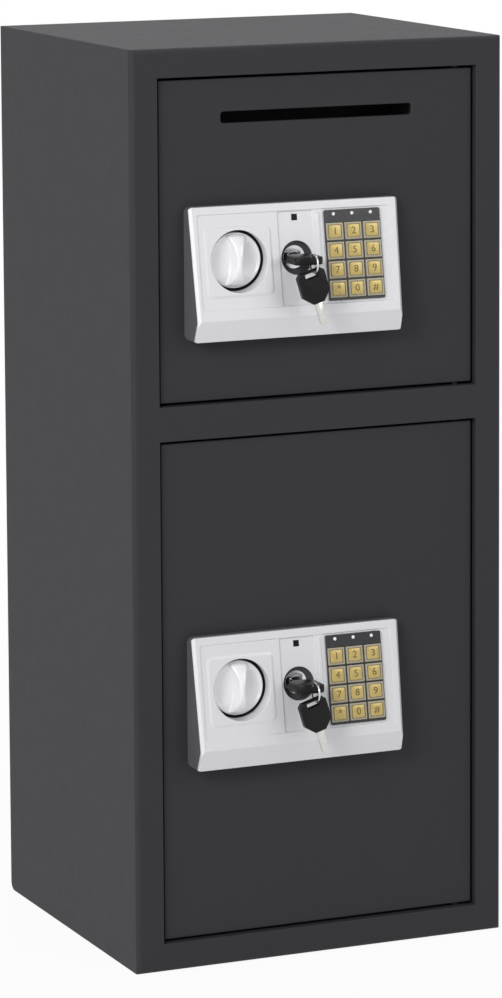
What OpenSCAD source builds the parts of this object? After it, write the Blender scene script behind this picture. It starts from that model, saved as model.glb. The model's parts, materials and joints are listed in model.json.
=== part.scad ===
// Two-compartment drop safe: a sheet-steel cabinet with a lower and an upper hinged
// door, a letter slot in the upper door and a wedge-shaped electronic lock on each.
// Millimetres. +X is right seen from the front, +Y runs to the back, +Z is up.
// The origin is the centre of the cabinet's footprint on the floor.
// Stored state: doors shut, bolts drawn in, keys in their locks.

/* [Cabinet] */

// Overall width
body_w = 350; // [330:1:400]
// Overall depth
body_d = 310; // [270:1:400]
// Overall height
body_h = 800; // [700:1:900]
// Thickness of the cabinet's sheet steel
wall_t = 3; // [2:0.5:4]
// Width of the front frame beside, above and below the doors
frame_w = 25; // [20:1:32]
// Height of the frame's middle rail
rail_h = 30; // [24:1:40]
// Height of the upper opening, the lower one takes the rest
up_h = 281; // [255:1:310]
// Bend radius of the front edges
bend_r = 5; // [2:0.5:6]
// Radius of the lower back edge
back_r = 8; // [4:0.5:9]
// Depth of the jamb beside a door, measured from the front
jamb_side = 10; // [9:0.5:12]
// Depth of the jamb above and below a door, measured from the front
jamb_flat = 19; // [17:0.5:24]
// Radius of the anchor holes in the back and the floor
anchor_r = 6; // [4:0.5:8]

/* [Doors] */

// Thickness of a door plate
door_t = 4; // [3:0.5:5]
// How far a door lies behind the frame's front
door_in = 5; // [4:0.5:6]
// Gap round a door
door_gap = 2.5; // [1.5:0.5:3]
// Radius of the pivot pins
pivot_r = 3; // [2:0.5:3.5]
// Distance of the pivot from the door's hinged edge
pivot_in = 13.5; // [12:0.5:16]
// Length of the letter slot
slot_w = 180; // [120:1:200]
// Height of the letter slot
slot_h = 10; // [8:0.5:14]
// Distance of the slot's middle below the upper door's top edge
slot_drop = 33.5; // [30:0.5:36]
// Depth of the cover behind a door
cover_d = 30; // [28:0.5:36]
// Sheet thickness of that cover
cover_t = 1.5; // [1:0.1:2]

/* [Lock panel] */

// Width of the panel on the door
panel_w = 197.5; // [190:0.5:205]
// Height of the panel
panel_h = 115; // [111:0.5:125]
// Height of the panel's sloping face
face_h = 96.5; // [93:0.5:100]
// How far the panel stands out at its top edge
out_top = 10; // [9:0.5:14]
// How far the panel stands out at its lower fold
out_fold = 25.5; // [22:0.5:30]
// How far the panel stands out at its bottom edge
out_base = 19; // [14:0.5:22]
// Thickness of the silver front
fascia_t = 3; // [2.5:0.1:3.5]
// Radius of the knob
knob_r = 24; // [20:0.1:24.5]
// Gap round the knob
knob_gap = 2.5; // [1.5:0.1:3]
// How far the knob's rim lies behind the silver front
knob_in = 9.5; // [7:0.5:10.5]
// How far the knob's grip stands out from its rim
grip_out = 13; // [9:0.5:15]
// Radius of the recess round the key
well_r = 14.5; // [12:0.5:15]
// Width of a keypad button
key_w = 16; // [14:0.1:16.4]
// Height of a keypad button
key_h = 15; // [13:0.1:15.1]
// Travel of a keypad button
key_travel = 1; // [0.6:0.1:1]

/* [Bolts and keys] */

// Radius of a locking bolt
bolt_r = 8; // [6:0.5:8]
// Distance between the two bolts of a door
bolt_pitch = 120; // [100:1:130]
// Throw of the bolts
bolt_throw = 15; // [12:0.5:16]
// Lift of the solenoid's plunger when the key turns
lift = 1.5; // [1:0.1:2]
// Length of a key's grip
bow_len = 26; // [25:0.5:32]
// Width of a key's grip
bow_w = 25.6; // [24:0.2:27]
// Thickness of a key's grip
bow_t = 6.6; // [5.6:0.1:6.8]
// Radius of the key ring
ring_r = 8; // [7.8:0.1:9]

/* [Hidden] */

$fn = 48;
eps = 0.01;
run = 0.05;
y_front = -body_d / 2;
y_door = y_front + door_in;
y_inner = y_door + door_t;
back_in = 3;
y_back = body_d / 2 - back_in - wall_t;
open_w = body_w - 2 * frame_w;
low_h = body_h - 2 * frame_w - rail_h - up_h;
door_x0 = -open_w / 2 + door_gap;
door_x1 = open_w / 2 - door_gap;
x_pivot = door_x1 - pivot_in;
y_pivot = y_inner + 2;
anchor_dx = 200;
anchor_dy = 150;
anchor_dz = 500;
anchor_z = 150;

block_w = 14;
block_d = 9;
block_h = 20;
pin_over = 1.5;

slot_z = body_h - frame_w - door_gap - slot_drop;
slot_corner = 3;
hood_side = 8;
hood_d = 62;
hood_knee = 12;
hood_rise = 10;
hood_drop = 26;
hood_lip = 2;
hood_tab = 8;
hood_t = 1.5;
ramp_over = 4;
fold_h = 12;
fold_gap = 3;
cover_x0 = door_x0 + 10;
cover_x1 = x_pivot - 16;
cover_edge = 12;
post_r = 4;
post_edge = 10;
post_head = 1.8;
y_cover = y_inner + cover_d;
reset_x = cover_x1 - 30;
reset_r = 4;
reset_out = 2.5;
reset_travel = 1.5;
lid_x = cover_x1 - 52;
lid_w = 74;
lid_h = 66;
lid_t = 1.5;
lid_lap = 3;
lid_slack = 0.3;
rib_w = 24;
rib_t = 1.6;
rib_pitch = 4;
rib_drop = 14;

panel_x0 = door_x0 + 22.5;
panel_drop = [169, 108];
draft = 0.12;
panel_corner = 5;
reach = 60;
face_a = atan((out_fold - out_top) / face_h);
face_len = face_h / cos(face_a);
x_knob = panel_x0 + 44;
x_lock = panel_x0 + panel_w / 2;
lock_s = 48;
lock_drop = lock_s * cos(face_a);
y_face = y_door - out_top - lock_s * sin(face_a);
base_wall = 2.2;
shelf_s = fascia_t + 1.8;
shelf_t = 1.8;
shelf_gap = 0.2;
bevel = 2.2;
collar_t = 1.4;
collar_gap = 0.2;
collar_over = 1;
rim_depth = 0.8;
rim_side = 8.5;
rim_end = 8;
rim_corner = 2;
pad_w = 66;
pad_h = 64;
pad_corner = 16;
channel_w = 33;
channel_end = 8.5;
channel_depth = 2;
channel_corner = 1.5;
ridge_x = 21;
ridge_w = 3;
ridge_end = 11;
sensor_w = 5.5;
sensor_s = 10;

pitch_x = 17.5;
pitch_z = 16.5;
bezel_in = 125.5;
bezel_x = panel_x0 + bezel_in;
bezel_w = 3 * pitch_x;
bezel_s = 8.4;
bezel_strip = 10.5;
bezel_h = bezel_strip + 4 * pitch_z + 1.6;
bezel_out = 1.2;
bezel_corner = 1.5;
bezel_slack = 0.15;
lamp_r = 1.6;
lamp_s = 3.6;
lamp_depth = 0.6;
hole_side = 0.3;
hole_end = 0.95;
cap_out = 0.7;
pillow_w = 11.4;
pillow_h = 10.8;
pillow_out = 0.6;
pillow_corner = 1;
flange = 0.6;
flange_t = 0.8;
stem_r = 3;

y_well = y_face + 10.5;
y_cylinder = y_well - 1.5;
cylinder_r = 9.5;
plug_r = 6;
y_cam = y_inner + 17;
cam_t = 3;
cam_r = 12;

crank_a = 45;
crank_l = bolt_throw / 2 / sin(crank_a);
crank_pin_r = 3;
spindle_r = 4.5;
bolt_clear = 2.5;
y_bolt = y_front + jamb_side + bolt_clear + bolt_r;
strap_t = 3;
strap_w = 36;
strap_over = 6;
bolt_tip = 2;
bolt_len = 63;
guide_x = door_x0 + 19.5;
guide_w = 8;
arm_top = 26;
arm_h = 6;
arm_end = 3.5;
notch_d = 3;
rest_gap = 0.3;
x_plunger = x_lock - 21.5;
plunger_r = 3;
coil_z = 46;
coil_h = 30;
coil_w = 24;
coil_r = 8.5;
coil_plate = 1.8;
foot_w = 6;
plate_up = 7;

key_out = 9;
bow_tail = 3;
bow_neck = 10;
bow_cut = 5;
bow_bevel = 3;
bow_hole = bow_len - 4;
bow_slot = 11.6;
slot_rise = 4.7;
blade_w = 7;
blade_t = 2;
blade_len = 14;
wire_r = 0.8;
y_bow = y_cylinder - key_out;
ring_out = 7.5;
y_ring = y_bow - bow_hole - ring_out;
ring_drop = 1.6;
ring_x = 1.5;
hang_x = 4;
hang_up = 0.95;
spare_tilt = 17.2;

steel = [0.25, 0.25, 0.27];
plastic = [0.3, 0.3, 0.32];
silver = [0.86, 0.86, 0.88];
chrome = [0.75, 0.76, 0.78];
gold = [0.8, 0.68, 0.38];
black = [0.09, 0.09, 0.1];
zinc = [0.62, 0.63, 0.65];
red = [0.7, 0.1, 0.1];

// The node to build, or all of them.

// Heights of door k, 0 the lower and 1 the upper one.
function open_z0(k) = k == 0 ? frame_w : frame_w + low_h + rail_h;
function open_z1(k) = k == 0 ? frame_w + low_h : body_h - frame_w;
function door_z0(k) = open_z0(k) + door_gap;
function door_z1(k) = open_z1(k) - door_gap;
function panel_z(k) = door_z1(k) - panel_drop[k];
function lock_z(k) = panel_z(k) - lock_drop;
function cover_z0(k) = door_z0(k) + cover_edge;
function cover_z1(k) = k == 0 ? door_z1(k) - cover_edge : slot_z - slot_h / 2 - 8;
function reset_z(k) = lock_z(k) + 34;
function lid_z(k) = lock_z(k) - 30;

// A box between two opposite corners.
module box(low, high) {
  translate(low) cube(high - low);
}

// A rectangle with round corners, centred on the origin.
module round_rect(w, h, r) {
  square([w - 2 * r, h], center = true);
  square([w, h - 2 * r], center = true);
  for (sx = [-1, 1], sy = [-1, 1])
    translate([sx * (w / 2 - r), sy * (h / 2 - r)]) circle(r);
}

// A flat shape drawn as seen from the front, running from y0 back to y1.
module along_y(y0, y1) {
  translate([0, y1, 0]) rotate([90, 0, 0]) linear_extrude(y1 - y0) children();
}

// A round bar along Y.
module rod(x, z, y0, y1, r) {
  translate([x, y1, z]) rotate([90, 0, 0]) cylinder(h = y1 - y0, r = r);
}

// The cabinet's outline from above, with round front corners.
module plan_outline() {
  translate([-body_w / 2, y_front + bend_r]) square([body_w, body_d - bend_r]);
  translate([-body_w / 2 + bend_r, y_front]) square([body_w - 2 * bend_r, body_d]);
  for (sx = [-1, 1])
    translate([sx * (body_w / 2 - bend_r), y_front + bend_r]) circle(bend_r);
}

// The cabinet's outline from the side, drawn with depth across and height up.
module side_outline() {
  difference() {
    translate([y_front, 0]) square([body_d, body_h]);
    translate([y_front - bend_r, -bend_r]) square(2 * bend_r);
    translate([y_front - bend_r, body_h - bend_r]) square(2 * bend_r);
    translate([body_d / 2 - back_r, -back_r]) square(2 * back_r);
  }
  translate([y_front + bend_r, bend_r]) circle(bend_r);
  translate([y_front + bend_r, body_h - bend_r]) circle(bend_r);
  translate([body_d / 2 - back_r, back_r]) circle(back_r);
}

// The folded jamb round opening k.
module jamb(k) {
  x = open_w / 2;
  y0 = y_front + wall_t / 2;
  for (s = [-1, 1])
    translate([s > 0 ? x : -x - wall_t, y0, open_z0(k) - wall_t])
      cube([wall_t, jamb_side - wall_t / 2, open_z1(k) - open_z0(k) + 2 * wall_t]);
  for (z = [open_z0(k) - wall_t, open_z1(k)])
    translate([-x - wall_t, y0, z])
      cube([open_w + 2 * wall_t, jamb_flat - wall_t / 2, wall_t]);
}

module cabinet_shell() {
  color(steel) difference() {
    union() {
      difference() {
        intersection() {
          linear_extrude(body_h) plan_outline();
          translate([-body_w, 0, 0])
            rotate([90, 0, 90]) linear_extrude(2 * body_w) side_outline();
        }
        box([-body_w / 2 + wall_t, y_front + wall_t, wall_t],
            [body_w / 2 - wall_t, body_d, body_h - wall_t]);
        for (k = [0, 1])
          box([-open_w / 2, y_front - 1, open_z0(k)],
              [open_w / 2, y_front + 2 * wall_t, open_z1(k)]);
      }
      for (k = [0, 1])
        jamb(k);
    }
    for (z = [open_z0(0), open_z1(0), open_z0(1), open_z1(1)])
      translate([x_pivot, y_pivot, z - 2 * wall_t])
        cylinder(h = 4 * wall_t, r = pivot_r + run);
    for (sx = [-1, 1], sy = [-1, 1])
      translate([sx * anchor_dx / 2, sy * anchor_dy / 2, -1])
        cylinder(h = wall_t + 2, r = anchor_r);
  }
}

module back_panel() {
  color(steel) difference() {
    box([-body_w / 2 + wall_t, y_back, wall_t],
        [body_w / 2 - wall_t, y_back + wall_t, body_h - wall_t]);
    for (sx = [-1, 1], n = [0, 1])
      rod(sx * anchor_dx / 2, anchor_z + n * anchor_dz, y_back - 1, y_back + wall_t + 1,
          anchor_r);
  }
}

// The steel floor between the compartments, with its edges folded down.
module divider() {
  x = body_w / 2 - wall_t;
  z = frame_w + low_h + rail_h / 2 - wall_t / 2;
  fold = fold_h;
  color(steel) {
    box([-x, y_front + wall_t, z], [x, y_back, z + wall_t]);
    for (s = [-1, 1])
      translate([s > 0 ? x - wall_t : -x, y_front + jamb_flat + fold_gap, z - fold])
        cube([wall_t, y_back - y_front - jamb_flat - fold_gap, fold + wall_t / 2]);
    box([-x + wall_t / 2, y_back - wall_t, z - fold], [x - wall_t / 2, y_back, z + wall_t / 2]);
  }
}

// The hood behind the letter slot, which turns a letter down and keeps hands out.
module slot_baffle() {
  w = slot_w / 2 + hood_side;
  t = hood_t;
  y_far = y_inner + hood_d;
  y_knee = y_far - hood_knee;
  y_ramp = y_cover + ramp_over;
  z_top = slot_z + slot_h / 2 + hood_rise;
  z_knee = z_top - hood_knee / 2;
  z_low = cover_z1(1) - hood_drop;
  z_lip = slot_z - slot_h / 2 - hood_lip;
  z_ramp = cover_z1(1) + t;
  side = [[y_inner, z_lip], [y_inner, z_top], [y_knee, z_knee], [y_far, z_low],
          [y_ramp, z_low], [y_ramp, z_ramp]];
  hood = [[y_inner, z_top - t], [y_inner, z_top], [y_knee, z_knee], [y_far, z_low],
          [y_far - t, z_low], [y_knee - t, z_knee - t]];
  ramp = [[y_inner, z_lip - t], [y_inner, z_lip], [y_ramp, z_ramp + t], [y_ramp, z_ramp]];
  color(steel) {
    for (s = [-1, 1])
      translate([s > 0 ? w - t : -w, 0, 0]) rotate([90, 0, 90]) linear_extrude(t) polygon(side);
    translate([-w, 0, 0]) rotate([90, 0, 90]) linear_extrude(2 * w) polygon(hood);
    translate([-w, 0, 0]) rotate([90, 0, 90]) linear_extrude(2 * w) polygon(ramp);
    box([-w, y_inner, z_top - t], [w, y_inner + t, z_top + hood_tab]);
  }
}

// Door plate k with its pivots, its bolt guides and the holes for the lock.
module door_plate(k) {
  z_mid = lock_z(k);
  guide_h = 2 * bolt_r + 8;
  color(steel) difference() {
    union() {
      box([door_x0, y_door, door_z0(k)], [door_x1, y_inner, door_z1(k)]);
      for (z = [door_z0(k), door_z1(k) - block_h])
        translate([x_pivot - block_w / 2, y_inner - 1, z]) cube([block_w, block_d + 1, block_h]);
      translate([x_pivot, y_pivot, door_z0(k) - door_gap - wall_t - pin_over])
        cylinder(h = door_gap + wall_t + pin_over + 2, r = pivot_r);
      translate([x_pivot, y_pivot, door_z1(k) - 2])
        cylinder(h = door_gap + wall_t + pin_over + 2, r = pivot_r);
      for (s = [-1, 1])
        translate([guide_x, y_inner - 1, z_mid + s * bolt_pitch / 2 - guide_h / 2])
          cube([guide_w, y_bolt + bolt_r + 3 - y_inner, guide_h]);
    }
    for (s = [-1, 1])
      translate([guide_x - 1, y_bolt, z_mid + s * bolt_pitch / 2])
        rotate([0, 90, 0]) cylinder(h = guide_w + 2, r = bolt_r + run);
    if (k == 1)
      along_y(y_door - 1, y_inner + 1)
        translate([0, slot_z]) round_rect(slot_w, slot_h, slot_corner);
    rod(x_knob, z_mid, y_door - 1, y_inner + 1, spindle_r + run);
    rod(x_lock, z_mid, y_door - 1, y_inner + 1, cylinder_r + 0.3);
    rod(bezel_x + bezel_w / 2, z_mid, y_door - 1, y_inner + 1, 6);
  }
}

// The sheet-steel cover over the works of door k.
module inner_cover(k) {
  z0 = cover_z0(k);
  z1 = cover_z1(k);
  color(steel) difference() {
    union() {
      difference() {
        box([cover_x0, y_inner, z0], [cover_x1, y_cover, z1]);
        box([cover_x0 + cover_t, y_inner - 1, z0 + cover_t],
            [cover_x1 - cover_t, y_cover - cover_t, z1 - cover_t]);
      }
      for (x = [cover_x0 + post_edge, cover_x1 - post_edge], z = [z0 + post_edge, z1 - post_edge]) {
        rod(x, z, y_inner, y_cover - cover_t / 2, post_r);
        rod(x, z, y_cover - eps, y_cover + post_head, post_r);
      }
    }
    for (s = [-1, 1])
      translate([cover_x0 - 1, y_bolt, lock_z(k) + s * bolt_pitch / 2])
        rotate([0, 90, 0]) cylinder(h = cover_t + 2, r = bolt_r + 2 * run);
    rod(reset_x, reset_z(k), y_cover - 2 * cover_t, y_cover + 1, reset_r + 0.08);
    translate([lid_x - lid_w / 2 + lid_lap, y_cover - 2 * cover_t, lid_z(k) - lid_h / 2 + lid_lap])
      cube([lid_w - 2 * lid_lap, 3 * cover_t, lid_h - 2 * lid_lap]);
  }
}

module battery_lid(k) {
  in = lid_lap + lid_slack;
  color(black) {
    translate([lid_x - lid_w / 2, y_cover, lid_z(k) - lid_h / 2])
      cube([lid_w, lid_t, lid_h]);
    translate([lid_x - lid_w / 2 + in, y_cover - 2 * cover_t, lid_z(k) - lid_h / 2 + in])
      cube([lid_w - 2 * in, 2 * cover_t + lid_t / 2, lid_h - 2 * in]);
    for (n = [-1, 0, 1])
      translate([lid_x - rib_w / 2, y_cover + lid_t / 2,
                 lid_z(k) + lid_h / 2 - rib_drop + rib_pitch * n])
        cube([rib_w, lid_t, rib_t]);
  }
}

module reset_button(k) {
  collar = y_cover - cover_t - reset_travel;
  color(red) {
    rod(reset_x, reset_z(k), collar - 2 * reset_travel, y_cover + reset_out, reset_r);
    rod(reset_x, reset_z(k), collar - 0.7, collar + 0.9, reset_r + 2);
  }
}

// Both bolts of door k on one sliding plate, with the crank's slot and the notch
// that the solenoid's plunger drops into when the bolts are out.
module bolt_carriage(k) {
  z = lock_z(k);
  x0 = door_x0 + bolt_tip;
  x_strap = x_knob - strap_w / 2 - 1;
  x_pin = x_knob + crank_l * sin(crank_a);
  half = crank_pin_r + 0.4;
  notch_x = x_plunger + bolt_throw;
  notch_r = plunger_r + 0.5;
  color(zinc) difference() {
    union() {
      box([x_strap, y_bolt - strap_t / 2, z - bolt_pitch / 2 - strap_over],
          [x_strap + strap_w, y_bolt + strap_t / 2, z + bolt_pitch / 2 + strap_over]);
      box([x_strap + strap_w / 2, y_bolt - strap_t / 2, z + arm_top - arm_h],
          [notch_x + notch_r + arm_end, y_bolt + strap_t / 2, z + arm_top]);
      for (s = [-1, 1])
        translate([x0, y_bolt, z + s * bolt_pitch / 2])
          rotate([0, 90, 0]) cylinder(h = bolt_len, r = bolt_r);
    }
    box([x_pin - half, y_bolt - strap_t, z + crank_l * cos(crank_a) - half - 1],
        [x_pin + half, y_bolt + strap_t, z + crank_l + half + 1]);
    box([notch_x - notch_r, y_bolt - strap_t, z + arm_top - notch_d],
        [notch_x + notch_r, y_bolt + strap_t, z + arm_top + 1]);
  }
}

// The knob with its spindle and the crank that drives the bolts.
module knob(k) {
  z = lock_z(k);
  y_rim = y_face + knob_in;
  y_crest = y_rim - grip_out;
  y_crank = y_inner + 0.3;
  crank_t = 3;
  hub_r = 7.5;
  boss_r = crank_pin_r + 1.5;
  arm_w = 2 * boss_r - 1.4;
  waist = 2.8;
  flank_r = 50;
  dish_r = 50;
  dish_x = 16.5;
  dish_d = 2.4;
  dome_r = 30;
  x_pin = x_knob + crank_l * sin(crank_a);
  z_pin = z + crank_l * cos(crank_a);
  color(silver) {
    difference() {
      rod(x_knob, z, y_rim, y_door - 1, knob_r);
      for (s = [-1, 1])
        translate([x_knob + s * dish_x, y_rim - dish_r + dish_d, z]) sphere(dish_r, $fn = 96);
    }
    intersection() {
      rod(x_knob, z, y_crest, y_rim + dish_d + 1.2, knob_r - 0.6);
      difference() {
        box([x_knob - 12, y_crest - 1, z - knob_r], [x_knob + 12, y_rim + dish_d + 0.8, z + knob_r]);
        for (s = [-1, 1])
          rod(x_knob + s * (waist + flank_r), z, y_crest - 2, y_rim + dish_d + 2, flank_r);
      }
      translate([x_knob - 20, y_crest + dome_r, z])
        rotate([0, 90, 0]) cylinder(h = 40, r = dome_r, $fn = 96);
    }
    rod(x_knob, z, y_door - 2, y_crank + crank_t + 1, spindle_r);
    rod(x_knob, z, y_crank, y_crank + crank_t, hub_r);
    translate([x_knob, y_crank, z]) rotate([0, crank_a, 0])
      translate([-arm_w / 2, 0.3, 0]) cube([arm_w, crank_t - 0.6, crank_l]);
    rod(x_pin, z_pin, y_crank, y_crank + crank_t, boss_r);
    rod(x_pin, z_pin, y_crank + crank_t / 2, y_bolt + strap_t / 2 + 1, crank_pin_r);
  }
}

// The lock's fixed barrel with its nut behind the door plate.
module lock_cylinder(k) {
  z = lock_z(k);
  color(chrome) difference() {
    union() {
      rod(x_lock, z, y_cylinder + 0.5, y_cam - 0.6, cylinder_r);
      rod(x_lock, z, y_cylinder, y_well, cylinder_r + 0.8);
      translate([x_lock, y_inner + 5, z]) rotate([90, 0, 0]) cylinder(h = 5, r = 14, $fn = 6);
    }
    rod(x_lock, z, y_cylinder - 1, y_cam, plug_r + run);
  }
}

// The barrel's turning core, with the keyway and a spiral cam that lifts the plunger.
module lock_plug(k) {
  z = lock_z(k);
  lobe = [for (a = [-12:6:102]) (cam_r + lift * min(max(a, 0), 90) / 90) * [-sin(a), cos(a)]];
  color(zinc) difference() {
    union() {
      rod(x_lock, z, y_cylinder - 0.4, y_cam + cam_t / 2, plug_r);
      rod(x_lock, z, y_cam, y_cam + cam_t, plug_r + 2);
      along_y(y_cam, y_cam + cam_t)
        translate([x_lock, z]) polygon(concat([[4, -3]], lobe, [[-3, -4]]));
    }
    box([x_lock - blade_w / 2 - 0.2, y_cylinder - 1, z - blade_t / 2 - 0.15],
        [x_lock + blade_w / 2 + 0.2, y_cylinder + blade_len + 1, z + blade_t / 2 + 0.15]);
  }
}

// A key lying flat: the blade points along -Y and the grip along +Y from the origin.
module key_shape() {
  half = bow_w / 2;
  neck = bow_neck / 2;
  top = half - bow_bevel;
  grip = [[-neck, -bow_tail], [neck, -bow_tail], [half, bow_cut], [half, bow_len - bow_bevel],
          [top, bow_len], [-top, bow_len], [-half, bow_len - bow_bevel], [-half, bow_cut]];
  difference() {
    translate([0, 0, -bow_t / 2]) linear_extrude(bow_t) polygon(grip);
    translate([-bow_slot / 2, bow_hole - slot_rise / 2, -bow_t])
      cube([bow_slot, slot_rise, 2 * bow_t]);
  }
  translate([-blade_w / 2, -key_out - blade_len, -blade_t / 2])
    cube([blade_w, blade_len + key_out - bow_tail + 2, blade_t]);
}

module main_key(k) {
  color(black) translate([x_lock, y_bow, lock_z(k)]) mirror([0, 1, 0]) key_shape();
}

module key_ring(k) {
  color(chrome) translate([x_lock + ring_x, y_ring, lock_z(k) - ring_drop])
    rotate([0, 90, 0]) rotate_extrude() translate([ring_r, 0]) circle(wire_r);
}

// The spare hangs from the ring by the end of its slot, so that its blade points down and
// to the right.
module spare_key(k) {
  z_hang = lock_z(k) - ring_drop - ring_r + 0.4;
  color(black) translate([x_lock + ring_x, y_ring, z_hang]) rotate([0, -spare_tilt, 0])
    translate([-hang_x, 0, -bow_hole - hang_up]) rotate([90, 0, 0]) key_shape();
}

// A flat shape with depth across and height up, drawn out over the panel's width and
// cut to the panel's drafted sides and round corners. z is the panel's top.
module panel_solid(z, inset) {
  run_out = 40;
  x0 = panel_x0 + inset;
  x1 = panel_x0 + panel_w - inset;
  intersection() {
    translate([panel_x0, y_door, z]) rotate([90, 0, 90]) linear_extrude(panel_w) children();
    translate([0, 0, z - panel_h - 1]) linear_extrude(panel_h + 2)
      polygon([[x0, y_door], [x1, y_door], [x1 - draft * run_out, y_door - run_out],
               [x0 + draft * run_out, y_door - run_out]]);
    along_y(y_door - run_out, y_door)
      translate([panel_x0 + panel_w / 2, z - panel_h / 2])
        round_rect(panel_w - 2 * inset, panel_h - 2 * inset, panel_corner - inset);
  }
}

// The side view of the panel between two depths under its front.
module panel_profile(from, to) {
  polygon([[-out_top + from, 0], [-out_fold + from, -face_h], [-out_base + from, -panel_h],
           [min(-out_base + to, 0), -panel_h], [min(-out_fold + to, 0), -face_h],
           [min(-out_top + to, 0), 0]]);
}

// Children drawn on the sloping face: x along the top edge from the panel's left,
// y into the panel and z up the face.
module on_face(k) {
  translate([panel_x0, y_door - out_top, panel_z(k)]) rotate([-face_a, 0, 0]) children();
}

// A flat shape sunk into the face between two depths.
module face_cut(k, from, to) {
  on_face(k) translate([0, to, 0]) rotate([90, 0, 0]) linear_extrude(to - from) children();
}

// Openings for the keypad's buttons.
module keypad_hole() {
  w = 2 * pitch_x + key_w + 2 * hole_side;
  h = 3 * pitch_z + key_h + 2 * hole_end;
  translate([bezel_x - panel_x0 + bezel_w / 2 - w / 2,
             -bezel_s - bezel_strip - 2 * pitch_z - h / 2]) square([w, h]);
}

// Outer radius of the silver front's collar round the knob.
function collar_r() = knob_r + knob_gap + collar_t;

// The dark housing behind the silver front, with the wells of knob and lock.
module panel_base(k) {
  z = panel_z(k);
  zl = lock_z(k);
  front = fascia_t + 2;
  color(plastic) difference() {
    union() {
      difference() {
        panel_solid(z, 0) panel_profile(fascia_t, reach);
        intersection() {
          panel_solid(z, base_wall) panel_profile(front, reach);
          box([panel_x0, y_door - reach, z - panel_h + base_wall],
              [panel_x0 + panel_w, y_door + 1, z - base_wall]);
        }
      }
      panel_solid_core(k);
    }
    rod(x_knob, zl, y_door - reach, y_door + 1, collar_r() + collar_gap);
    rod(x_lock, zl, y_door - reach, y_well, well_r);
    rod(x_lock, zl, y_door - reach, y_door + 1, cylinder_r + 0.3);
    face_cut(k, 0, front) keypad_hole();
  }
}

// Tubes round the knob and the lock, and the shelf behind the buttons.
module panel_solid_core(k) {
  intersection() {
    panel_solid(panel_z(k), 0) panel_profile(fascia_t, reach);
    union() {
      rod(x_knob, lock_z(k), y_door - reach, y_door, collar_r() + collar_gap + 2);
      rod(x_lock, lock_z(k), y_door - reach, y_door, well_r + 2);
      face_cut(k, shelf_s, shelf_s + shelf_t)
        translate([bezel_x - panel_x0 - 3, -bezel_s - bezel_h - 2])
          square([bezel_w + 6, bezel_h - 6]);
    }
  }
}

// The silver front: bevelled edges, a sunk field, the pad round the knob with the collar
// of the knob's well, the key's channel and the openings.
module panel_fascia(k) {
  z = panel_z(k);
  zl = lock_z(k);
  x_k = x_knob - panel_x0;
  x_l = x_lock - panel_x0;
  lean = atan(draft * (out_fold - out_top) / face_len);
  cut_len = face_len + 40;
  color(silver) difference() {
    union() {
      panel_solid(z, 0) panel_profile(0, fascia_t);
      intersection() {
        panel_solid(z, 0) panel_profile(fascia_t / 2, reach);
        rod(x_knob, zl, y_door - reach, y_face + knob_in + collar_over, collar_r());
      }
    }
    for (s = [0, 1])
      on_face(k) translate([s * panel_w, 0, 0]) mirror([s, 0, 0])
        translate([draft * out_top, 0, 0]) rotate([0, -lean, 0])
          translate([0, 0, -cut_len]) linear_extrude(cut_len + 20)
            polygon([[-3, -3], [bevel + 3, -3], [-3, bevel + 3]]);
    on_face(k) rotate([90, 0, 90]) translate([0, 0, -5]) linear_extrude(panel_w + 10)
      polygon([[-3, 3], [bevel + 1, 3], [-3, -bevel - 1]]);
    face_cut(k, -1, rim_depth) difference() {
      translate([panel_w / 2 - 1, -face_len / 2 + 1])
        round_rect(panel_w - 2 * rim_side, face_len - 2 * rim_end, rim_corner);
      translate([x_k, -lock_s]) round_rect(pad_w, pad_h, pad_corner);
      translate([x_l + ridge_x, -lock_s])
        round_rect(ridge_w, face_len - 2 * ridge_end, ridge_w / 3);
    }
    face_cut(k, -1, channel_depth)
      translate([x_l, -lock_s])
        round_rect(channel_w, face_len - 2 * channel_end, channel_corner);
    face_cut(k, -1, 2 * fascia_t) {
      keypad_hole();
      translate([x_l - sensor_w / 2, -sensor_s - sensor_w]) square(sensor_w);
    }
    rod(x_knob, zl, y_door - reach, y_door, knob_r + knob_gap);
    rod(x_lock, zl, y_door - reach, y_door, well_r);
  }
}

// Middle of button n on the face; the buttons count along the rows from the top left.
function key_x(n) = bezel_x - panel_x0 + (n % 3 + 0.5) * pitch_x;
function key_s(n) = bezel_s + bezel_strip + (floor(n / 3) + 0.5) * pitch_z;

module keypad_bezel(k) {
  w = key_w + 2 * bezel_slack;
  h = key_h + 2 * bezel_slack;
  color(black) difference() {
    face_cut(k, -bezel_out, rim_depth)
      translate([bezel_x - panel_x0 + bezel_w / 2, -bezel_s - bezel_h / 2])
        round_rect(bezel_w, bezel_h, bezel_corner);
    for (n = [0:11])
      face_cut(k, -bezel_out - 1, rim_depth + 1)
        translate([key_x(n) - w / 2, -key_s(n) - h / 2]) square([w, h]);
    for (n = [0:2])
      face_cut(k, -bezel_out - 1, -bezel_out + lamp_depth)
        translate([key_x(n), -bezel_s - lamp_s]) circle(lamp_r);
  }
}

// Button n of door k: a silver frame with a raised middle, held in by a flange.
module keypad_button(k, n) {
  y_flange = rim_depth + 0.1;
  color(gold) {
    face_cut(k, -bezel_out - cap_out, y_flange + flange_t)
      translate([key_x(n) - key_w / 2, -key_s(n) - key_h / 2]) square([key_w, key_h]);
    face_cut(k, -bezel_out - cap_out - pillow_out, -bezel_out)
      translate([key_x(n), -key_s(n)]) round_rect(pillow_w, pillow_h, pillow_corner);
    face_cut(k, y_flange, y_flange + flange_t)
      translate([key_x(n) - key_w / 2, -key_s(n) - key_h / 2 - flange])
        square([key_w, key_h + 2 * flange]);
    face_cut(k, rim_depth, shelf_s - shelf_gap - key_travel)
      translate([key_x(n), -key_s(n)]) circle(stem_r);
  }
}

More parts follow.
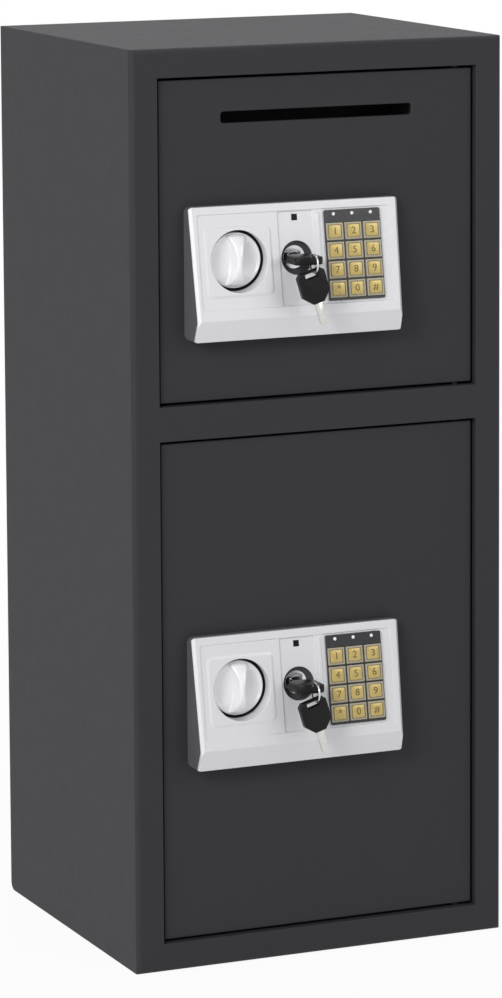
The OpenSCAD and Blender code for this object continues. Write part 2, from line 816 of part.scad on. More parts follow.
module solenoid(k) {
  z = lock_z(k) + coil_z;
  x0 = x_plunger - coil_w / 2;
  x1 = x_plunger + coil_w / 2;
  y1 = y_bolt + coil_r + 1.5;
  color(zinc) difference() {
    union() {
      box([x0, y_inner, z], [x1, y1, z + coil_plate]);
      box([x0, y_inner, z + coil_h - coil_plate], [x1, y1, z + coil_h]);
      box([x0, y_inner, z], [x1, y_inner + coil_plate, z + coil_h]);
      translate([x_plunger, y_bolt, z + 1]) cylinder(h = coil_h - 2, r = coil_r);
    }
    translate([x_plunger, y_bolt, z - 1]) cylinder(h = coil_h - 3, r = plunger_r + run);
  }
}

// The solenoid's plunger with the bracket that reaches over to the lock's cam.
module plunger(k) {
  z = lock_z(k);
  z0 = z + arm_top + rest_gap;
  z_plate = z0 + plate_up;
  roll_r = foot_w / 2 + 0.4;
  z_roll = z + cam_r + rest_gap + roll_r;
  y0 = y_cam;
  y1 = y_cam + cam_t;
  color(chrome) {
    translate([x_plunger, y_bolt, z0]) cylinder(h = coil_z - arm_top + coil_h / 2 + 1, r = plunger_r);
    box([x_plunger - 4, y_bolt - 4, z_plate], [x_plunger + 4, y1, z_plate + cam_t]);
    box([x_plunger, y0, z_plate], [x_lock + foot_w / 2, y1, z_plate + cam_t]);
    box([x_lock - foot_w / 2, y0, z_roll + foot_w / 4], [x_lock + foot_w / 2, y1, z_plate + 1]);
    rod(x_lock, z_roll, y0, y1, roll_r);
  }
}

module lower_door_plate() { door_plate(0); }
module lower_inner_cover() { inner_cover(0); }
module lower_battery_lid() { battery_lid(0); }
module lower_bolt_carriage() { bolt_carriage(0); }
module lower_knob() { knob(0); }
module lower_lock_cylinder() { lock_cylinder(0); }
module lower_lock_plug() { lock_plug(0); }
module lower_key() { main_key(0); }
module lower_key_ring() { key_ring(0); }
module lower_spare_key() { spare_key(0); }
module lower_panel_base() { panel_base(0); }
module lower_panel_fascia() { panel_fascia(0); }
module lower_keypad_bezel() { keypad_bezel(0); }
module lower_solenoid() { solenoid(0); }
module lower_plunger() { plunger(0); }
module lower_reset_button() { reset_button(0); }
module lower_button_1() { keypad_button(0, 0); }
module lower_button_2() { keypad_button(0, 1); }
module lower_button_3() { keypad_button(0, 2); }
module lower_button_4() { keypad_button(0, 3); }
module lower_button_5() { keypad_button(0, 4); }
module lower_button_6() { keypad_button(0, 5); }
module lower_button_7() { keypad_button(0, 6); }
module lower_button_8() { keypad_button(0, 7); }
module lower_button_9() { keypad_button(0, 8); }
module lower_button_star() { keypad_button(0, 9); }
module lower_button_0() { keypad_button(0, 10); }
module lower_button_hash() { keypad_button(0, 11); }

module upper_door_plate() { door_plate(1); }
module upper_inner_cover() { inner_cover(1); }
module upper_battery_lid() { battery_lid(1); }
module upper_bolt_carriage() { bolt_carriage(1); }
module upper_knob() { knob(1); }
module upper_lock_cylinder() { lock_cylinder(1); }
module upper_lock_plug() { lock_plug(1); }
module upper_key() { main_key(1); }
module upper_key_ring() { key_ring(1); }
module upper_spare_key() { spare_key(1); }
module upper_panel_base() { panel_base(1); }
module upper_panel_fascia() { panel_fascia(1); }
module upper_keypad_bezel() { keypad_bezel(1); }
module upper_solenoid() { solenoid(1); }
module upper_plunger() { plunger(1); }
module upper_reset_button() { reset_button(1); }
module upper_button_1() { keypad_button(1, 0); }
module upper_button_2() { keypad_button(1, 1); }
module upper_button_3() { keypad_button(1, 2); }
module upper_button_4() { keypad_button(1, 3); }
module upper_button_5() { keypad_button(1, 4); }
module upper_button_6() { keypad_button(1, 5); }
module upper_button_7() { keypad_button(1, 6); }
module upper_button_8() { keypad_button(1, 7); }
module upper_button_9() { keypad_button(1, 8); }
module upper_button_star() { keypad_button(1, 9); }
module upper_button_0() { keypad_button(1, 10); }
module upper_button_hash() { keypad_button(1, 11); }

cabinet_shell();
back_panel();
divider();
slot_baffle();
lower_door_plate();
lower_inner_cover();
lower_battery_lid();
lower_bolt_carriage();
lower_knob();
lower_lock_cylinder();
lower_lock_plug();
lower_key();
lower_key_ring();
lower_spare_key();
lower_panel_base();
lower_panel_fascia();
lower_keypad_bezel();
lower_solenoid();
lower_plunger();
lower_reset_button();
lower_button_1();
lower_button_2();
lower_button_3();
lower_button_4();
lower_button_5();
lower_button_6();
lower_button_7();
lower_button_8();
lower_button_9();
lower_button_star();
lower_button_0();
lower_button_hash();
upper_door_plate();
upper_inner_cover();
upper_battery_lid();
upper_bolt_carriage();
upper_knob();
upper_lock_cylinder();
upper_lock_plug();
upper_key();
upper_key_ring();
upper_spare_key();
upper_panel_base();
upper_panel_fascia();
upper_keypad_bezel();
upper_solenoid();
upper_plunger();
upper_reset_button();
upper_button_1();
upper_button_2();
upper_button_3();
upper_button_4();
upper_button_5();
upper_button_6();
upper_button_7();
upper_button_8();
upper_button_9();
upper_button_star();
upper_button_0();
upper_button_hash();
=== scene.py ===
"""The looks of a two-door drop safe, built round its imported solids.

Every piece is made in metres in the frame of the solids: +X to the right seen from
the front, +Y to the back, +Z up, the origin under the middle of the cabinet.
"""

import json
import math

import bmesh
import bpy
from bpy.props import FloatProperty, FloatVectorProperty, IntProperty, PointerProperty
from mathutils import Matrix, Vector
from mathutils.bvhtree import BVHTree

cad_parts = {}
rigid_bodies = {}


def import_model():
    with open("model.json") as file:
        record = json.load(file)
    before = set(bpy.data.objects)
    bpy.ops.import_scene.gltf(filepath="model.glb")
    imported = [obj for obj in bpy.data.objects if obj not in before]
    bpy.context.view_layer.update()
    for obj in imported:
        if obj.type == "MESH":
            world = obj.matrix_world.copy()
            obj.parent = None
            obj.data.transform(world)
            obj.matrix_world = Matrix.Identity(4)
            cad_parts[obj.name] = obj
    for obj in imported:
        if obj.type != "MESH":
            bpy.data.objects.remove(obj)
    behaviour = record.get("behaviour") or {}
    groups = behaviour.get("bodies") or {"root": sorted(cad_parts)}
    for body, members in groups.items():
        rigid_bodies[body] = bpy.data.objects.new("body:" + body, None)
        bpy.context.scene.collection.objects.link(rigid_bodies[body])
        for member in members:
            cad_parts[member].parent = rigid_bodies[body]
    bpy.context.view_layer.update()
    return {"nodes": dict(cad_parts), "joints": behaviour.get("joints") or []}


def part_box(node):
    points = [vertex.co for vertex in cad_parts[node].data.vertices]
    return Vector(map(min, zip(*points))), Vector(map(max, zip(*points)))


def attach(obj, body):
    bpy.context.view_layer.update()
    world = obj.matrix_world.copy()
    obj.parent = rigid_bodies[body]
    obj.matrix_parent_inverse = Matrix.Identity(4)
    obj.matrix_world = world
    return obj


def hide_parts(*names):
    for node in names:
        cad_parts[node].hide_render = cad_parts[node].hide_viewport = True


bl_info = {
    "name": "Drop Safe",
    "version": (1, 0, 0),
    "blender": (4, 5, 0),
    "location": "View3D > Sidebar > Drop Safe",
    "description": "Builds the visible pieces of a two-door drop safe",
    "category": "Object",
}

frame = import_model()
JOINTS = {joint["name"]: joint for joint in frame["joints"]}

MM = 0.001
DOORS = ("lower", "upper")
BUTTONS = (
    ("1", "1"), ("2", "2"), ("3", "3"), ("4", "4"), ("5", "5"), ("6", "6"),
    ("7", "7"), ("8", "8"), ("9", "9"), ("star", "*"), ("0", "0"), ("hash", "#"),
)

# The lock panel's own sizes, as in the solids.
PANEL_STANDS_OUT = 10 * MM
KEYPAD_X = 125.5 * MM
KEYPAD_DOWN = 8.4 * MM
LAMP_STRIP = 10.5 * MM
KEYPAD_OUT = 1.2 * MM
BUTTON_PITCH = (17.5 * MM, 16.5 * MM)
LAMP_DOWN = 3.6 * MM
LAMP_DEPTH = 0.6 * MM
LAMP_FOOT = 0.5 * MM
PAD_SIZE = (66 * MM, 64 * MM)
PAD_DOWN = 48 * MM
PAD_STEP = 0.8 * MM
PAD_CORNER = 16 * MM
SENSOR_HALF = 2.7 * MM
SENSOR_DOWN = 12.75 * MM
SENSOR_DEPTHS = (-4.6 * MM, -2.7 * MM)

# A keypad button: feet and corners of its frame and pillow, the pillow's crown, and the
# digit's foot and rise.
RIM_FOOT = -1.5 * MM
RIM_CORNER = 0.5 * MM
PILLOW_FOOT = 1.05 * MM
PILLOW_CORNER = 1.3 * MM
PILLOW_CREST = 1.43 * MM
PILLOW_RADIUS = 42 * MM
DIGIT_FOOT = 2.0 * MM
DIGIT_RISE = 0.65 * MM

# Radii of the knob's grip and hollows, and where the hollows run out towards the rim.
KNOB_FLANK = 50 * MM
KNOB_DOME = 30 * MM
KNOB_DISH = 50 * MM
KNOB_DISH_X = 16.5 * MM
KNOB_HOLLOW_END = 0.88
KNOB_HOLLOW_FALL = 0.07
# From which share of its reach the grip's crest falls, over which, and how far below the rim.
GRIP_END = 0.9
GRIP_FALL = 0.1
GRIP_DIP = 0.8 * MM

# The keys, and how the spare one hangs in the ring.
KEY_GRIP_LENGTH = 26 * MM
KEY_GRIP_HALF = 3.3 * MM
KEY_SHANK = 9 * MM
KEY_BLADE = 14 * MM
KEY_BLADE_HALF = 3.5 * MM
KEY_SLOT_HALF = (5.8 * MM, 2.35 * MM)
KEY_SLOT_DOWN = 4 * MM
HANG_X = 4 * MM
HANG_UP = 0.95 * MM
SPARE_LEAN = math.radians(17.2)

# Cover screws: from the cover's edges, and down into its face. The bars that cut their
# cross recess: length in radii, width, height and how high their middle is.
SCREW_INSET = 10 * MM
SCREW_SINK = 1.8 * MM
CROSS_REACH = 1.05
CROSS_WIDTH = 0.9 * MM
CROSS_HEIGHT = 3.0 * MM
CROSS_UP = 2.9 * MM

# How far the bolts' surface is drawn in, to run free in their guides.
BOLT_PLAY = 0.04 * MM

# Mesh work: merging distance, the bend that makes an edge, how far a rounded edge's
# vertices may stray (in widths), and how level a flat region is.
MERGE = 0.02 * MM
EDGE_BEND = 32.0
STRAY = 0.8
LEVEL = math.cos(math.radians(0.2))
# Flat regions over this share of the largest one count as much as it in the shading.
SAME_SHARE = 0.4

# The camera: place, then azimuth, elevation and roll in degrees. The world and the floor.
CAMERA_PLACE = (-1.5695, -3.5895, 1.0962)
CAMERA_TURN = (23.66, -7.16, -0.33)
CAMERA_LENS = 159.53
CAMERA_SHIFT = -0.25
AIR_STRENGTH = 0.36
FLOOR_REACH = 20
# The share of plain white that the camera sees in the floor, and over which distances
# from the safe it grows.
FLOOR_WHITE = (0.93, 1.0)
FLOOR_FADE = (0.4, 2.0)


# Sizes and colours.


class SafeSizes(bpy.types.PropertyGroup):
    """Sizes that may be changed before the pieces are made."""

    steel_edge: FloatProperty(
        name="Steel edge", description="Rounding of the sheet steel's cut edges",
        default=0.7 * MM, min=0.0, unit="LENGTH", precision=5)
    moulded_edge: FloatProperty(
        name="Moulded edge", description="Rounding of the plastic mouldings' edges",
        default=0.4 * MM, min=0.0, unit="LENGTH", precision=5)
    pad_corner: FloatProperty(
        name="Pad corner", description="Radius of the corners of the pad round the knob",
        default=6.0 * MM, min=0.0, unit="LENGTH", precision=5)
    pad_inset: FloatProperty(
        name="Pad inset", description="How far the pad's foot lies inside its solid",
        default=1.5 * MM, min=0.0, unit="LENGTH", precision=5)
    pad_flank: FloatProperty(
        name="Pad flank", description="Width of the pad's sloping flanks",
        default=2.1 * MM, min=0.0, unit="LENGTH", precision=5)
    knob_ridge: FloatProperty(
        name="Knob ridge", description="Height of the knob's grip over its rim",
        default=13.0 * MM, min=0.0, unit="LENGTH", precision=5)
    knob_scoop: FloatProperty(
        name="Knob scoop", description="Depth of the hollows beside the grip",
        default=2.4 * MM, min=0.0, unit="LENGTH", precision=5)
    knob_waist: FloatProperty(
        name="Knob waist", description="Half of the grip's width at its middle",
        default=2.8 * MM, min=0.0, unit="LENGTH", precision=5)
    button_width: FloatProperty(
        name="Button width", description="Width of a keypad button",
        default=15.9 * MM, min=0.0, unit="LENGTH", precision=5)
    button_height: FloatProperty(
        name="Button height", description="Height of a keypad button",
        default=14.9 * MM, min=0.0, unit="LENGTH", precision=5)
    digit_height: FloatProperty(
        name="Digit height", description="Height of the raised digits",
        default=8.6 * MM, min=0.0, unit="LENGTH", precision=5)
    screw_radius: FloatProperty(
        name="Screw radius", description="Radius of the cover screws' heads",
        default=4.3 * MM, min=0.0, unit="LENGTH", precision=5)
    screw_seed: IntProperty(
        name="Screw turn seed", description="Picks how far each screw is turned",
        default=7, min=0)


class SafeColours(bpy.types.PropertyGroup):
    """Colours of the finishes."""

    coat: FloatVectorProperty(
        name="Powder coat", description="Dark grey coat of cabinet and doors",
        subtype="COLOR", size=3, default=(0.0286, 0.0286, 0.033), min=0.0, max=1.0)
    housing: FloatVectorProperty(
        name="Panel housing", description="Dark plastic behind the silver front",
        subtype="COLOR", size=3, default=(0.085, 0.085, 0.093), min=0.0, max=1.0)
    silver: FloatVectorProperty(
        name="Silver lacquer", description="Front of the lock panel and the knob",
        subtype="COLOR", size=3, default=(0.69, 0.69, 0.71), min=0.0, max=1.0)
    gold: FloatVectorProperty(
        name="Button pillow", description="Raised middle of a keypad button",
        subtype="COLOR", size=3, default=(0.5, 0.385, 0.135), min=0.0, max=1.0)
    button_rim: FloatVectorProperty(
        name="Button frame", description="Pale edge of a keypad button",
        subtype="COLOR", size=3, default=(0.36, 0.325, 0.24), min=0.0, max=1.0)
    black: FloatVectorProperty(
        name="Black plastic", description="Key grips, keypad frame and lids",
        subtype="COLOR", size=3, default=(0.0045, 0.0045, 0.0055), min=0.0, max=1.0)
    floor: FloatVectorProperty(
        name="Floor", description="Floor and backdrop",
        subtype="COLOR", size=3, default=(0.85, 0.85, 0.85), min=0.0, max=1.0)


# Materials.


EVEN = (1.0, 1.0, 1.0)
FINISHES = {}


class Finish:
    """A material with its shader and short ways to add procedural detail to it."""

    def __init__(self, name, colour, roughness, metallic=0.0):
        self.name = name
        self.material = bpy.data.materials.new(name)
        self.material.use_nodes = True
        self.tree = self.material.node_tree
        self.tree.nodes.clear()
        self.shader = self.tree.nodes.new("ShaderNodeBsdfPrincipled")
        output = self.tree.nodes.new("ShaderNodeOutputMaterial")
        self.link(self.shader.outputs["BSDF"], output.inputs["Surface"])
        self.place = self.tree.nodes.new("ShaderNodeTexCoord").outputs["Object"]
        self.put("Base Color", (*colour, 1.0))
        self.put("Roughness", roughness)
        self.put("Metallic", metallic)

    def put(self, socket, value):
        self.shader.inputs[socket].default_value = value
        return self

    def link(self, source, target):
        self.tree.links.new(source, target)

    def noise(self, size, detail=2.0, stretch=EVEN):
        """Noise whose features are about size metres across."""
        mapping = self.tree.nodes.new("ShaderNodeMapping")
        mapping.inputs["Scale"].default_value = stretch
        self.link(self.place, mapping.inputs["Vector"])
        noise = self.tree.nodes.new("ShaderNodeTexNoise")
        noise.inputs["Scale"].default_value = 1.0 / size
        noise.inputs["Detail"].default_value = detail
        self.link(mapping.outputs["Vector"], noise.inputs["Vector"])
        return noise.outputs["Fac"]

    def ranged(self, value, low, high, from_low=0.3, from_high=0.7):
        """The value spread from its usual range to low..high."""
        node = self.tree.nodes.new("ShaderNodeMapRange")
        node.inputs["From Min"].default_value = from_low
        node.inputs["From Max"].default_value = from_high
        node.inputs["To Min"].default_value = low
        node.inputs["To Max"].default_value = high
        self.link(value, node.inputs["Value"])
        return node.outputs["Result"]

    def mottle(self, size, colour, other, detail=3.0):
        """Base colour that wanders between two colours."""
        mix = self.tree.nodes.new("ShaderNodeMix")
        mix.data_type = "RGBA"
        mix.inputs["A"].default_value = (*colour, 1.0)
        mix.inputs["B"].default_value = (*other, 1.0)
        self.link(self.ranged(self.noise(size, detail), 0.0, 1.0), mix.inputs["Factor"])
        self.link(mix.outputs["Result"], self.shader.inputs["Base Color"])
        return self

    def rough(self, size, low, high, stretch=EVEN):
        """Roughness that wanders between two values."""
        self.link(self.ranged(self.noise(size, 3.0, stretch), low, high),
                  self.shader.inputs["Roughness"])
        return self

    def grain(self, *layers, stretch=EVEN):
        """Fine relief: layers of (feature size, height) in metres."""
        normal = None
        for size, height in layers:
            bump = self.tree.nodes.new("ShaderNodeBump")
            bump.inputs["Strength"].default_value = 1.0
            bump.inputs["Distance"].default_value = height
            self.link(self.noise(size, 2.0, stretch), bump.inputs["Height"])
            if normal is not None:
                self.link(normal, bump.inputs["Normal"])
            normal = bump.outputs["Normal"]
        self.link(normal, self.shader.inputs["Normal"])
        return self


def shade(colour, factor):
    """The colour made darker or lighter by a factor."""
    return tuple(min(1.0, channel * factor) for channel in colour)


def make_finishes():
    """All the finishes of the safe, by name."""
    colours = bpy.context.scene.safe_colours
    coat = tuple(colours.coat)
    housing = tuple(colours.housing)
    silver = tuple(colours.silver)
    gold = tuple(colours.gold)
    rim = tuple(colours.button_rim)
    black = tuple(colours.black)
    finishes = (
        Finish("powder_coat", coat, 0.58)
        .put("Specular IOR Level", 0.2)
        .mottle(0.03, shade(coat, 0.99), shade(coat, 1.012))
        .rough(0.012, 0.56, 0.6)
        .grain((0.0011, 0.00002), (0.0042, 0.000012)),
        Finish("housing_plastic", housing, 0.5)
        .mottle(0.03, shade(housing, 0.95), shade(housing, 1.06))
        .rough(0.006, 0.46, 0.56)
        .grain((0.0006, 0.00003)),
        Finish("silver_lacquer", silver, 0.34, 0.12)
        .put("Coat Weight", 0.25)
        .put("Coat Roughness", 0.2)
        .mottle(0.0005, shade(silver, 0.955), shade(silver, 1.03), 1.0)
        .rough(0.01, 0.3, 0.38)
        .grain((0.0016, 0.000006)),
        # The knob's silver is made lighter than the front's: painted light that makes up for the
        # shade of its well and grip.
        Finish("knob_lacquer_lightened", shade(silver, 1.22), 0.36, 0.08)
        .put("Coat Weight", 0.25)
        .put("Coat Roughness", 0.2)
        .mottle(0.0005, shade(silver, 1.18), shade(silver, 1.26), 1.0)
        .rough(0.01, 0.32, 0.4)
        .grain((0.0016, 0.000006)),
        Finish("chrome", (0.66, 0.66, 0.68), 0.12, 1.0)
        .mottle(0.006, (0.60, 0.60, 0.62), (0.72, 0.72, 0.74))
        .rough(0.003, 0.07, 0.2)
        .grain((0.0007, 0.000002)),
        Finish("zinc_plate", (0.5, 0.51, 0.52), 0.34, 1.0)
        .mottle(0.008, (0.42, 0.43, 0.44), (0.58, 0.58, 0.57))
        .rough(0.002, 0.28, 0.42, (0.15, 1.0, 1.0))
        .grain((0.0004, 0.000005), stretch=(0.1, 1.0, 1.0)),
        Finish("nickel_blade", (0.62, 0.61, 0.58), 0.2, 1.0)
        .mottle(0.004, (0.6, 0.59, 0.56), (0.66, 0.65, 0.62))
        .rough(0.0015, 0.17, 0.25)
        .grain((0.0004, 0.000003)),
        Finish("black_plastic", black, 0.35)
        .put("Specular IOR Level", 0.2)
        .mottle(0.01, shade(black, 0.85), shade(black, 1.25))
        .rough(0.02, 0.33, 0.37)
        .grain((0.0009, 0.000004)),
        Finish("keypad_black", shade(black, 3), 0.24)
        .mottle(0.01, shade(black, 2.7), shade(black, 3.3))
        .rough(0.004, 0.2, 0.3)
        .grain((0.0009, 0.000006)),
        Finish("gold_plate", gold, 0.3, 0.35)
        .mottle(0.004, shade(gold, 0.94), shade(gold, 1.06))
        .rough(0.002, 0.26, 0.34)
        .grain((0.0008, 0.000002)),
        Finish("button_frame", rim, 0.36, 0.2)
        .mottle(0.004, shade(rim, 0.93), shade(rim, 1.05))
        .rough(0.002, 0.3, 0.42)
        .grain((0.0006, 0.000004)),
        Finish("digit_bronze", (0.16, 0.1, 0.025), 0.4, 0.2)
        .mottle(0.003, (0.13, 0.08, 0.02), (0.2, 0.13, 0.035))
        .rough(0.002, 0.34, 0.46),
        Finish("red_plastic", (0.5, 0.03, 0.025), 0.32)
        .mottle(0.004, (0.44, 0.024, 0.02), (0.56, 0.04, 0.032))
        .rough(0.003, 0.26, 0.38)
        .grain((0.0008, 0.000005)),
        Finish("lamp_lens", (0.82, 0.83, 0.84), 0.16)
        .mottle(0.001, (0.76, 0.77, 0.79), (0.9, 0.9, 0.9))
        .rough(0.001, 0.12, 0.22),
        Finish("sensor_window", (0.006, 0.006, 0.008), 0.12)
        .put("Specular IOR Level", 0.1)
        .mottle(0.002, (0.004, 0.004, 0.006), (0.012, 0.01, 0.014))
        .rough(0.001, 0.08, 0.18),
    )
    return {finish.name: finish.material for finish in finishes}


# Ways to make mesh.


def link_object(name, mesh):
    """A new object for a mesh, in the scene's collection."""
    obj = bpy.data.objects.new(name, mesh)
    bpy.context.scene.collection.objects.link(obj)
    return obj


def discard(obj):
    """Removes an object and its mesh."""
    mesh = obj.data
    bpy.data.objects.remove(obj)
    bpy.data.meshes.remove(mesh)


def from_bmesh(name, bm):
    """A new object from a bmesh, which is freed."""
    mesh = bpy.data.meshes.new(name)
    bm.to_mesh(mesh)
    bm.free()
    return link_object(name, mesh)


def settle(obj):
    """Turns an object with modifiers into a plain mesh."""
    bpy.context.view_layer.update()
    graph = bpy.context.evaluated_depsgraph_get()
    mesh = bpy.data.meshes.new_from_object(
        obj.evaluated_get(graph), preserve_all_data_layers=True, depsgraph=graph)
    old = obj.data
    obj.modifiers.clear()
    obj.data = mesh
    bpy.data.meshes.remove(old)
    return obj


def smooth_by_angle(obj, degrees):
    """Smooth shading over all edges that bend less than the angle."""
    obj.data.shade_smooth()
    obj.data.set_sharp_from_angle(angle=math.radians(degrees))
    return obj


def ease_edges(obj, width, degrees=EDGE_BEND, segments=2):
    """Rounds every edge that bends more than the angle."""
    smooth_by_angle(obj, degrees)
    before = skin_of(obj)
    bevel = obj.modifiers.new("ease", "BEVEL")
    bevel.width = width
    bevel.segments = segments
    bevel.limit_method = "ANGLE"
    bevel.angle_limit = math.radians(degrees)
    bevel.use_clamp_overlap = False
    bevel.loop_slide = False
    settle(obj)
    for vertex in obj.data.vertices:
        spot, _, _, distance = before.find_nearest(vertex.co)
        if distance > width * STRAY:
            vertex.co = spot
    return even_normals(obj)


def skin_of(obj):
    """The object's surface, for finding its nearest points."""
    bm = bmesh.new()
    bm.from_mesh(obj.data)
    skin = BVHTree.FromBMesh(bm)
    bm.free()
    return skin


def flat_areas(bm):
    """For each face, the area of the flat region that it belongs to."""
    areas = [0.0] * len(bm.faces)
    seen = set()
    for first in bm.faces:
        if first.index in seen:
            continue
        seen.add(first.index)
        region, waiting = [], [first]
        while waiting:
            face = waiting.pop()
            region.append(face)
            for edge in face.edges:
                for other in edge.link_faces:
                    if other.index not in seen and other.normal.dot(first.normal) > LEVEL:
                        seen.add(other.index)
                        waiting.append(other)
        total = sum(face.calc_area() for face in region)
        for face in region:
            areas[face.index] = total
    return areas


def fan_of(loop):
    """The faces round a corner, by number, that no sharp edge parts from its own face."""
    fan, waiting = {loop.face.index: loop.face}, [loop.face]
    while waiting:
        for edge in waiting.pop().edges:
            if edge.smooth and loop.vert in edge.verts:
                for other in edge.link_faces:
                    if other.index not in fan:
                        fan[other.index] = other
                        waiting.append(other)
    return fan


def even_normals(obj):
    """Shades each corner by the largest flat regions round it, so that they stay even."""
    bm = bmesh.new()
    bm.from_mesh(obj.data)
    areas = flat_areas(bm)
    normals = []
    for face in bm.faces:
        for loop in face.loops:
            fan = fan_of(loop)
            largest = max(areas[number] for number in fan)
            normal = sum((other.normal * other.calc_area() for number, other in fan.items()
                          if areas[number] > SAME_SHARE * largest), Vector())
            normals.append(normal.normalized() if normal.length > 0 else face.normal.copy())
    bm.free()
    obj.data.normals_split_custom_set(normals)
    return obj


def solid_mesh(node, merge=MERGE):
    """A merged bmesh of a solid, without needle faces."""
    bm = bmesh.new()
    bm.from_mesh(frame["nodes"][node].data)
    bmesh.ops.remove_doubles(bm, verts=bm.verts, dist=merge)
    bmesh.ops.dissolve_degenerate(bm, dist=merge / 4, edges=bm.edges)
    return bm


def eased_solid(node, name, width, merge=MERGE, degrees=EDGE_BEND, segments=2, reshape=None):
    """A copy of a solid with rounded edges, reshaped first where a function is given."""
    bm = solid_mesh(node, merge)
    if reshape is not None:
        reshape(bm)
    obj = from_bmesh(name, bm)
    for polygon in obj.data.polygons:
        polygon.material_index = 0
    obj.data.materials.clear()
    if width > 0:
        return ease_edges(obj, width, degrees, segments)
    return smooth_by_angle(obj, degrees)


def draw_in(obj, amount):
    """Draws a surface in along its normals, so that the piece runs free in its guide."""
    normals = [vertex.normal.copy() for vertex in obj.data.vertices]
    for vertex, normal in zip(obj.data.vertices, normals):
        vertex.co -= normal * amount
    return obj


def finish_piece(obj, body, slot, material, *nodes):
    """Gives a finished piece its material and its body, and hides the solids that it stands for.
    """
    if not obj.data.materials:
        obj.data.materials.append(FINISHES[material])
    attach(obj, body)
    if nodes:
        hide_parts(*nodes)
    return obj


def dress(node, name, body, slot, material, width, **how):
    """Puts a piece with rounded edges in the place of a solid of the same shape."""
    return finish_piece(eased_solid(node, name, width, **how), body, slot, material, node)


def joined(name, objects):
    """One object from several, the materials kept."""
    bm = bmesh.new()
    materials = []
    for obj in objects:
        start = len(bm.faces)
        bm.from_mesh(obj.data)
        bm.faces.ensure_lookup_table()
        places = []
        for material in obj.data.materials:
            if material not in materials:
                materials.append(material)
            places.append(materials.index(material))
        for face in bm.faces[start:]:
            face.material_index = places[face.material_index] if places else 0
    mesh = bpy.data.meshes.new(name)
    bm.to_mesh(mesh)
    bm.free()
    for material in materials:
        mesh.materials.append(material)
    for obj in objects:
        discard(obj)
    return link_object(name, mesh)


def combine(first, second, operation):
    """Unites two closed objects or cuts the second out of the first; the second goes."""
    boolean = first.modifiers.new("combine", "BOOLEAN")
    boolean.operation = operation
    boolean.object = second
    boolean.solver = "EXACT"
    settle(first)
    discard(second)
    return first


def prism(name, outline, low, high):
    """A flat outline in x and y, made solid between two heights."""
    bm = bmesh.new()
    floor = [bm.verts.new((x, y, low)) for x, y in outline]
    roof = [bm.verts.new((x, y, high)) for x, y in outline]
    bm.faces.new(floor)
    join_rings(bm, floor, roof, None)
    bm.faces.new(roof)
    bmesh.ops.recalc_face_normals(bm, faces=bm.faces)
    return from_bmesh(name, bm)


def square(half_x, half_y, middle_y=0.0):
    """The outline of a rectangle whose middle is on the y axis."""
    return [(-half_x, middle_y - half_y), (half_x, middle_y - half_y),
            (half_x, middle_y + half_y), (-half_x, middle_y + half_y)]


def ring_of(bm, radius, height, sides):
    """A circle of vertices."""
    verts = []
    for n in range(sides):
        angle = 2 * math.pi * n / sides
        verts.append(bm.verts.new((radius * math.cos(angle), radius * math.sin(angle), height)))
    return verts


def join_rings(bm, inner, outer, centre):
    """Faces between two circles of vertices, or between a point and the first circle."""
    count = len(outer)
    for n in range(count):
        m = (n + 1) % count
        if inner is None:
            bm.faces.new((centre, outer[n], outer[m]))
        else:
            bm.faces.new((inner[n], outer[n], outer[m], inner[m]))


def lathe(name, profile, sides):
    """A closed solid of (radius, height) points turned about its z axis."""
    bm = bmesh.new()
    rings = []
    for radius, height in profile:
        rings.append(ring_of(bm, radius, height, sides if radius > 0 else 1))
    for low, high in zip(rings, rings[1:]):
        for n in range(sides):
            m = (n + 1) % sides
            if len(low) == 1:
                bm.faces.new((low[0], high[n], high[m]))
            elif len(high) == 1:
                bm.faces.new((low[n], low[m], high[0]))
            else:
                bm.faces.new((low[n], low[m], high[m], high[n]))
    bmesh.ops.recalc_face_normals(bm, faces=bm.faces)
    return from_bmesh(name, bm)


# Where the panels are.


def middle(node):
    """The middle of a solid's box."""
    low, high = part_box(node)
    return (low + high) / 2


def face_place(door):
    """Turns points on a panel's sloping face (right, up the face, out) to the frame."""
    low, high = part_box(f"{door}_panel_base")
    inward = Vector(JOINTS[f"{door}_key_press_1"]["axis"]).normalized()
    right = Vector((1, 0, 0))
    out = -inward
    up = out.cross(right)
    place = Matrix((right, up, out)).transposed().to_4x4()
    place.translation = Vector((low.x, high.y - PANEL_STANDS_OUT, high.z))
    return place


def button_spot(number):
    """The middle of a button on the face, counted along the rows from the top left."""
    across = KEYPAD_X + (number % 3 + 0.5) * BUTTON_PITCH[0]
    down = KEYPAD_DOWN + LAMP_STRIP + (number // 3 + 0.5) * BUTTON_PITCH[1]
    return Vector((across, -down, 0))


def front_place(x, y, z):
    """Turns points seen from the front (right, up, towards the viewer) to the frame."""
    place = Matrix(((1, 0, 0), (0, 0, 1), (0, -1, 0))).transposed().to_4x4()
    place.translation = Vector((x, y, z))
    return place


# Node groups.


def feed(tree, socket, value):
    """Gives a socket a value or another node's output."""
    if isinstance(value, bpy.types.NodeSocket):
        tree.links.new(value, socket)
    else:
        socket.default_value = value


def math_node(tree, operation, first, second):
    """The result of a sum on two values or outputs."""
    node = tree.nodes.new("ShaderNodeMath")
    node.operation = operation
    feed(tree, node.inputs[0], first)
    feed(tree, node.inputs[1], second)
    return node.outputs[0]


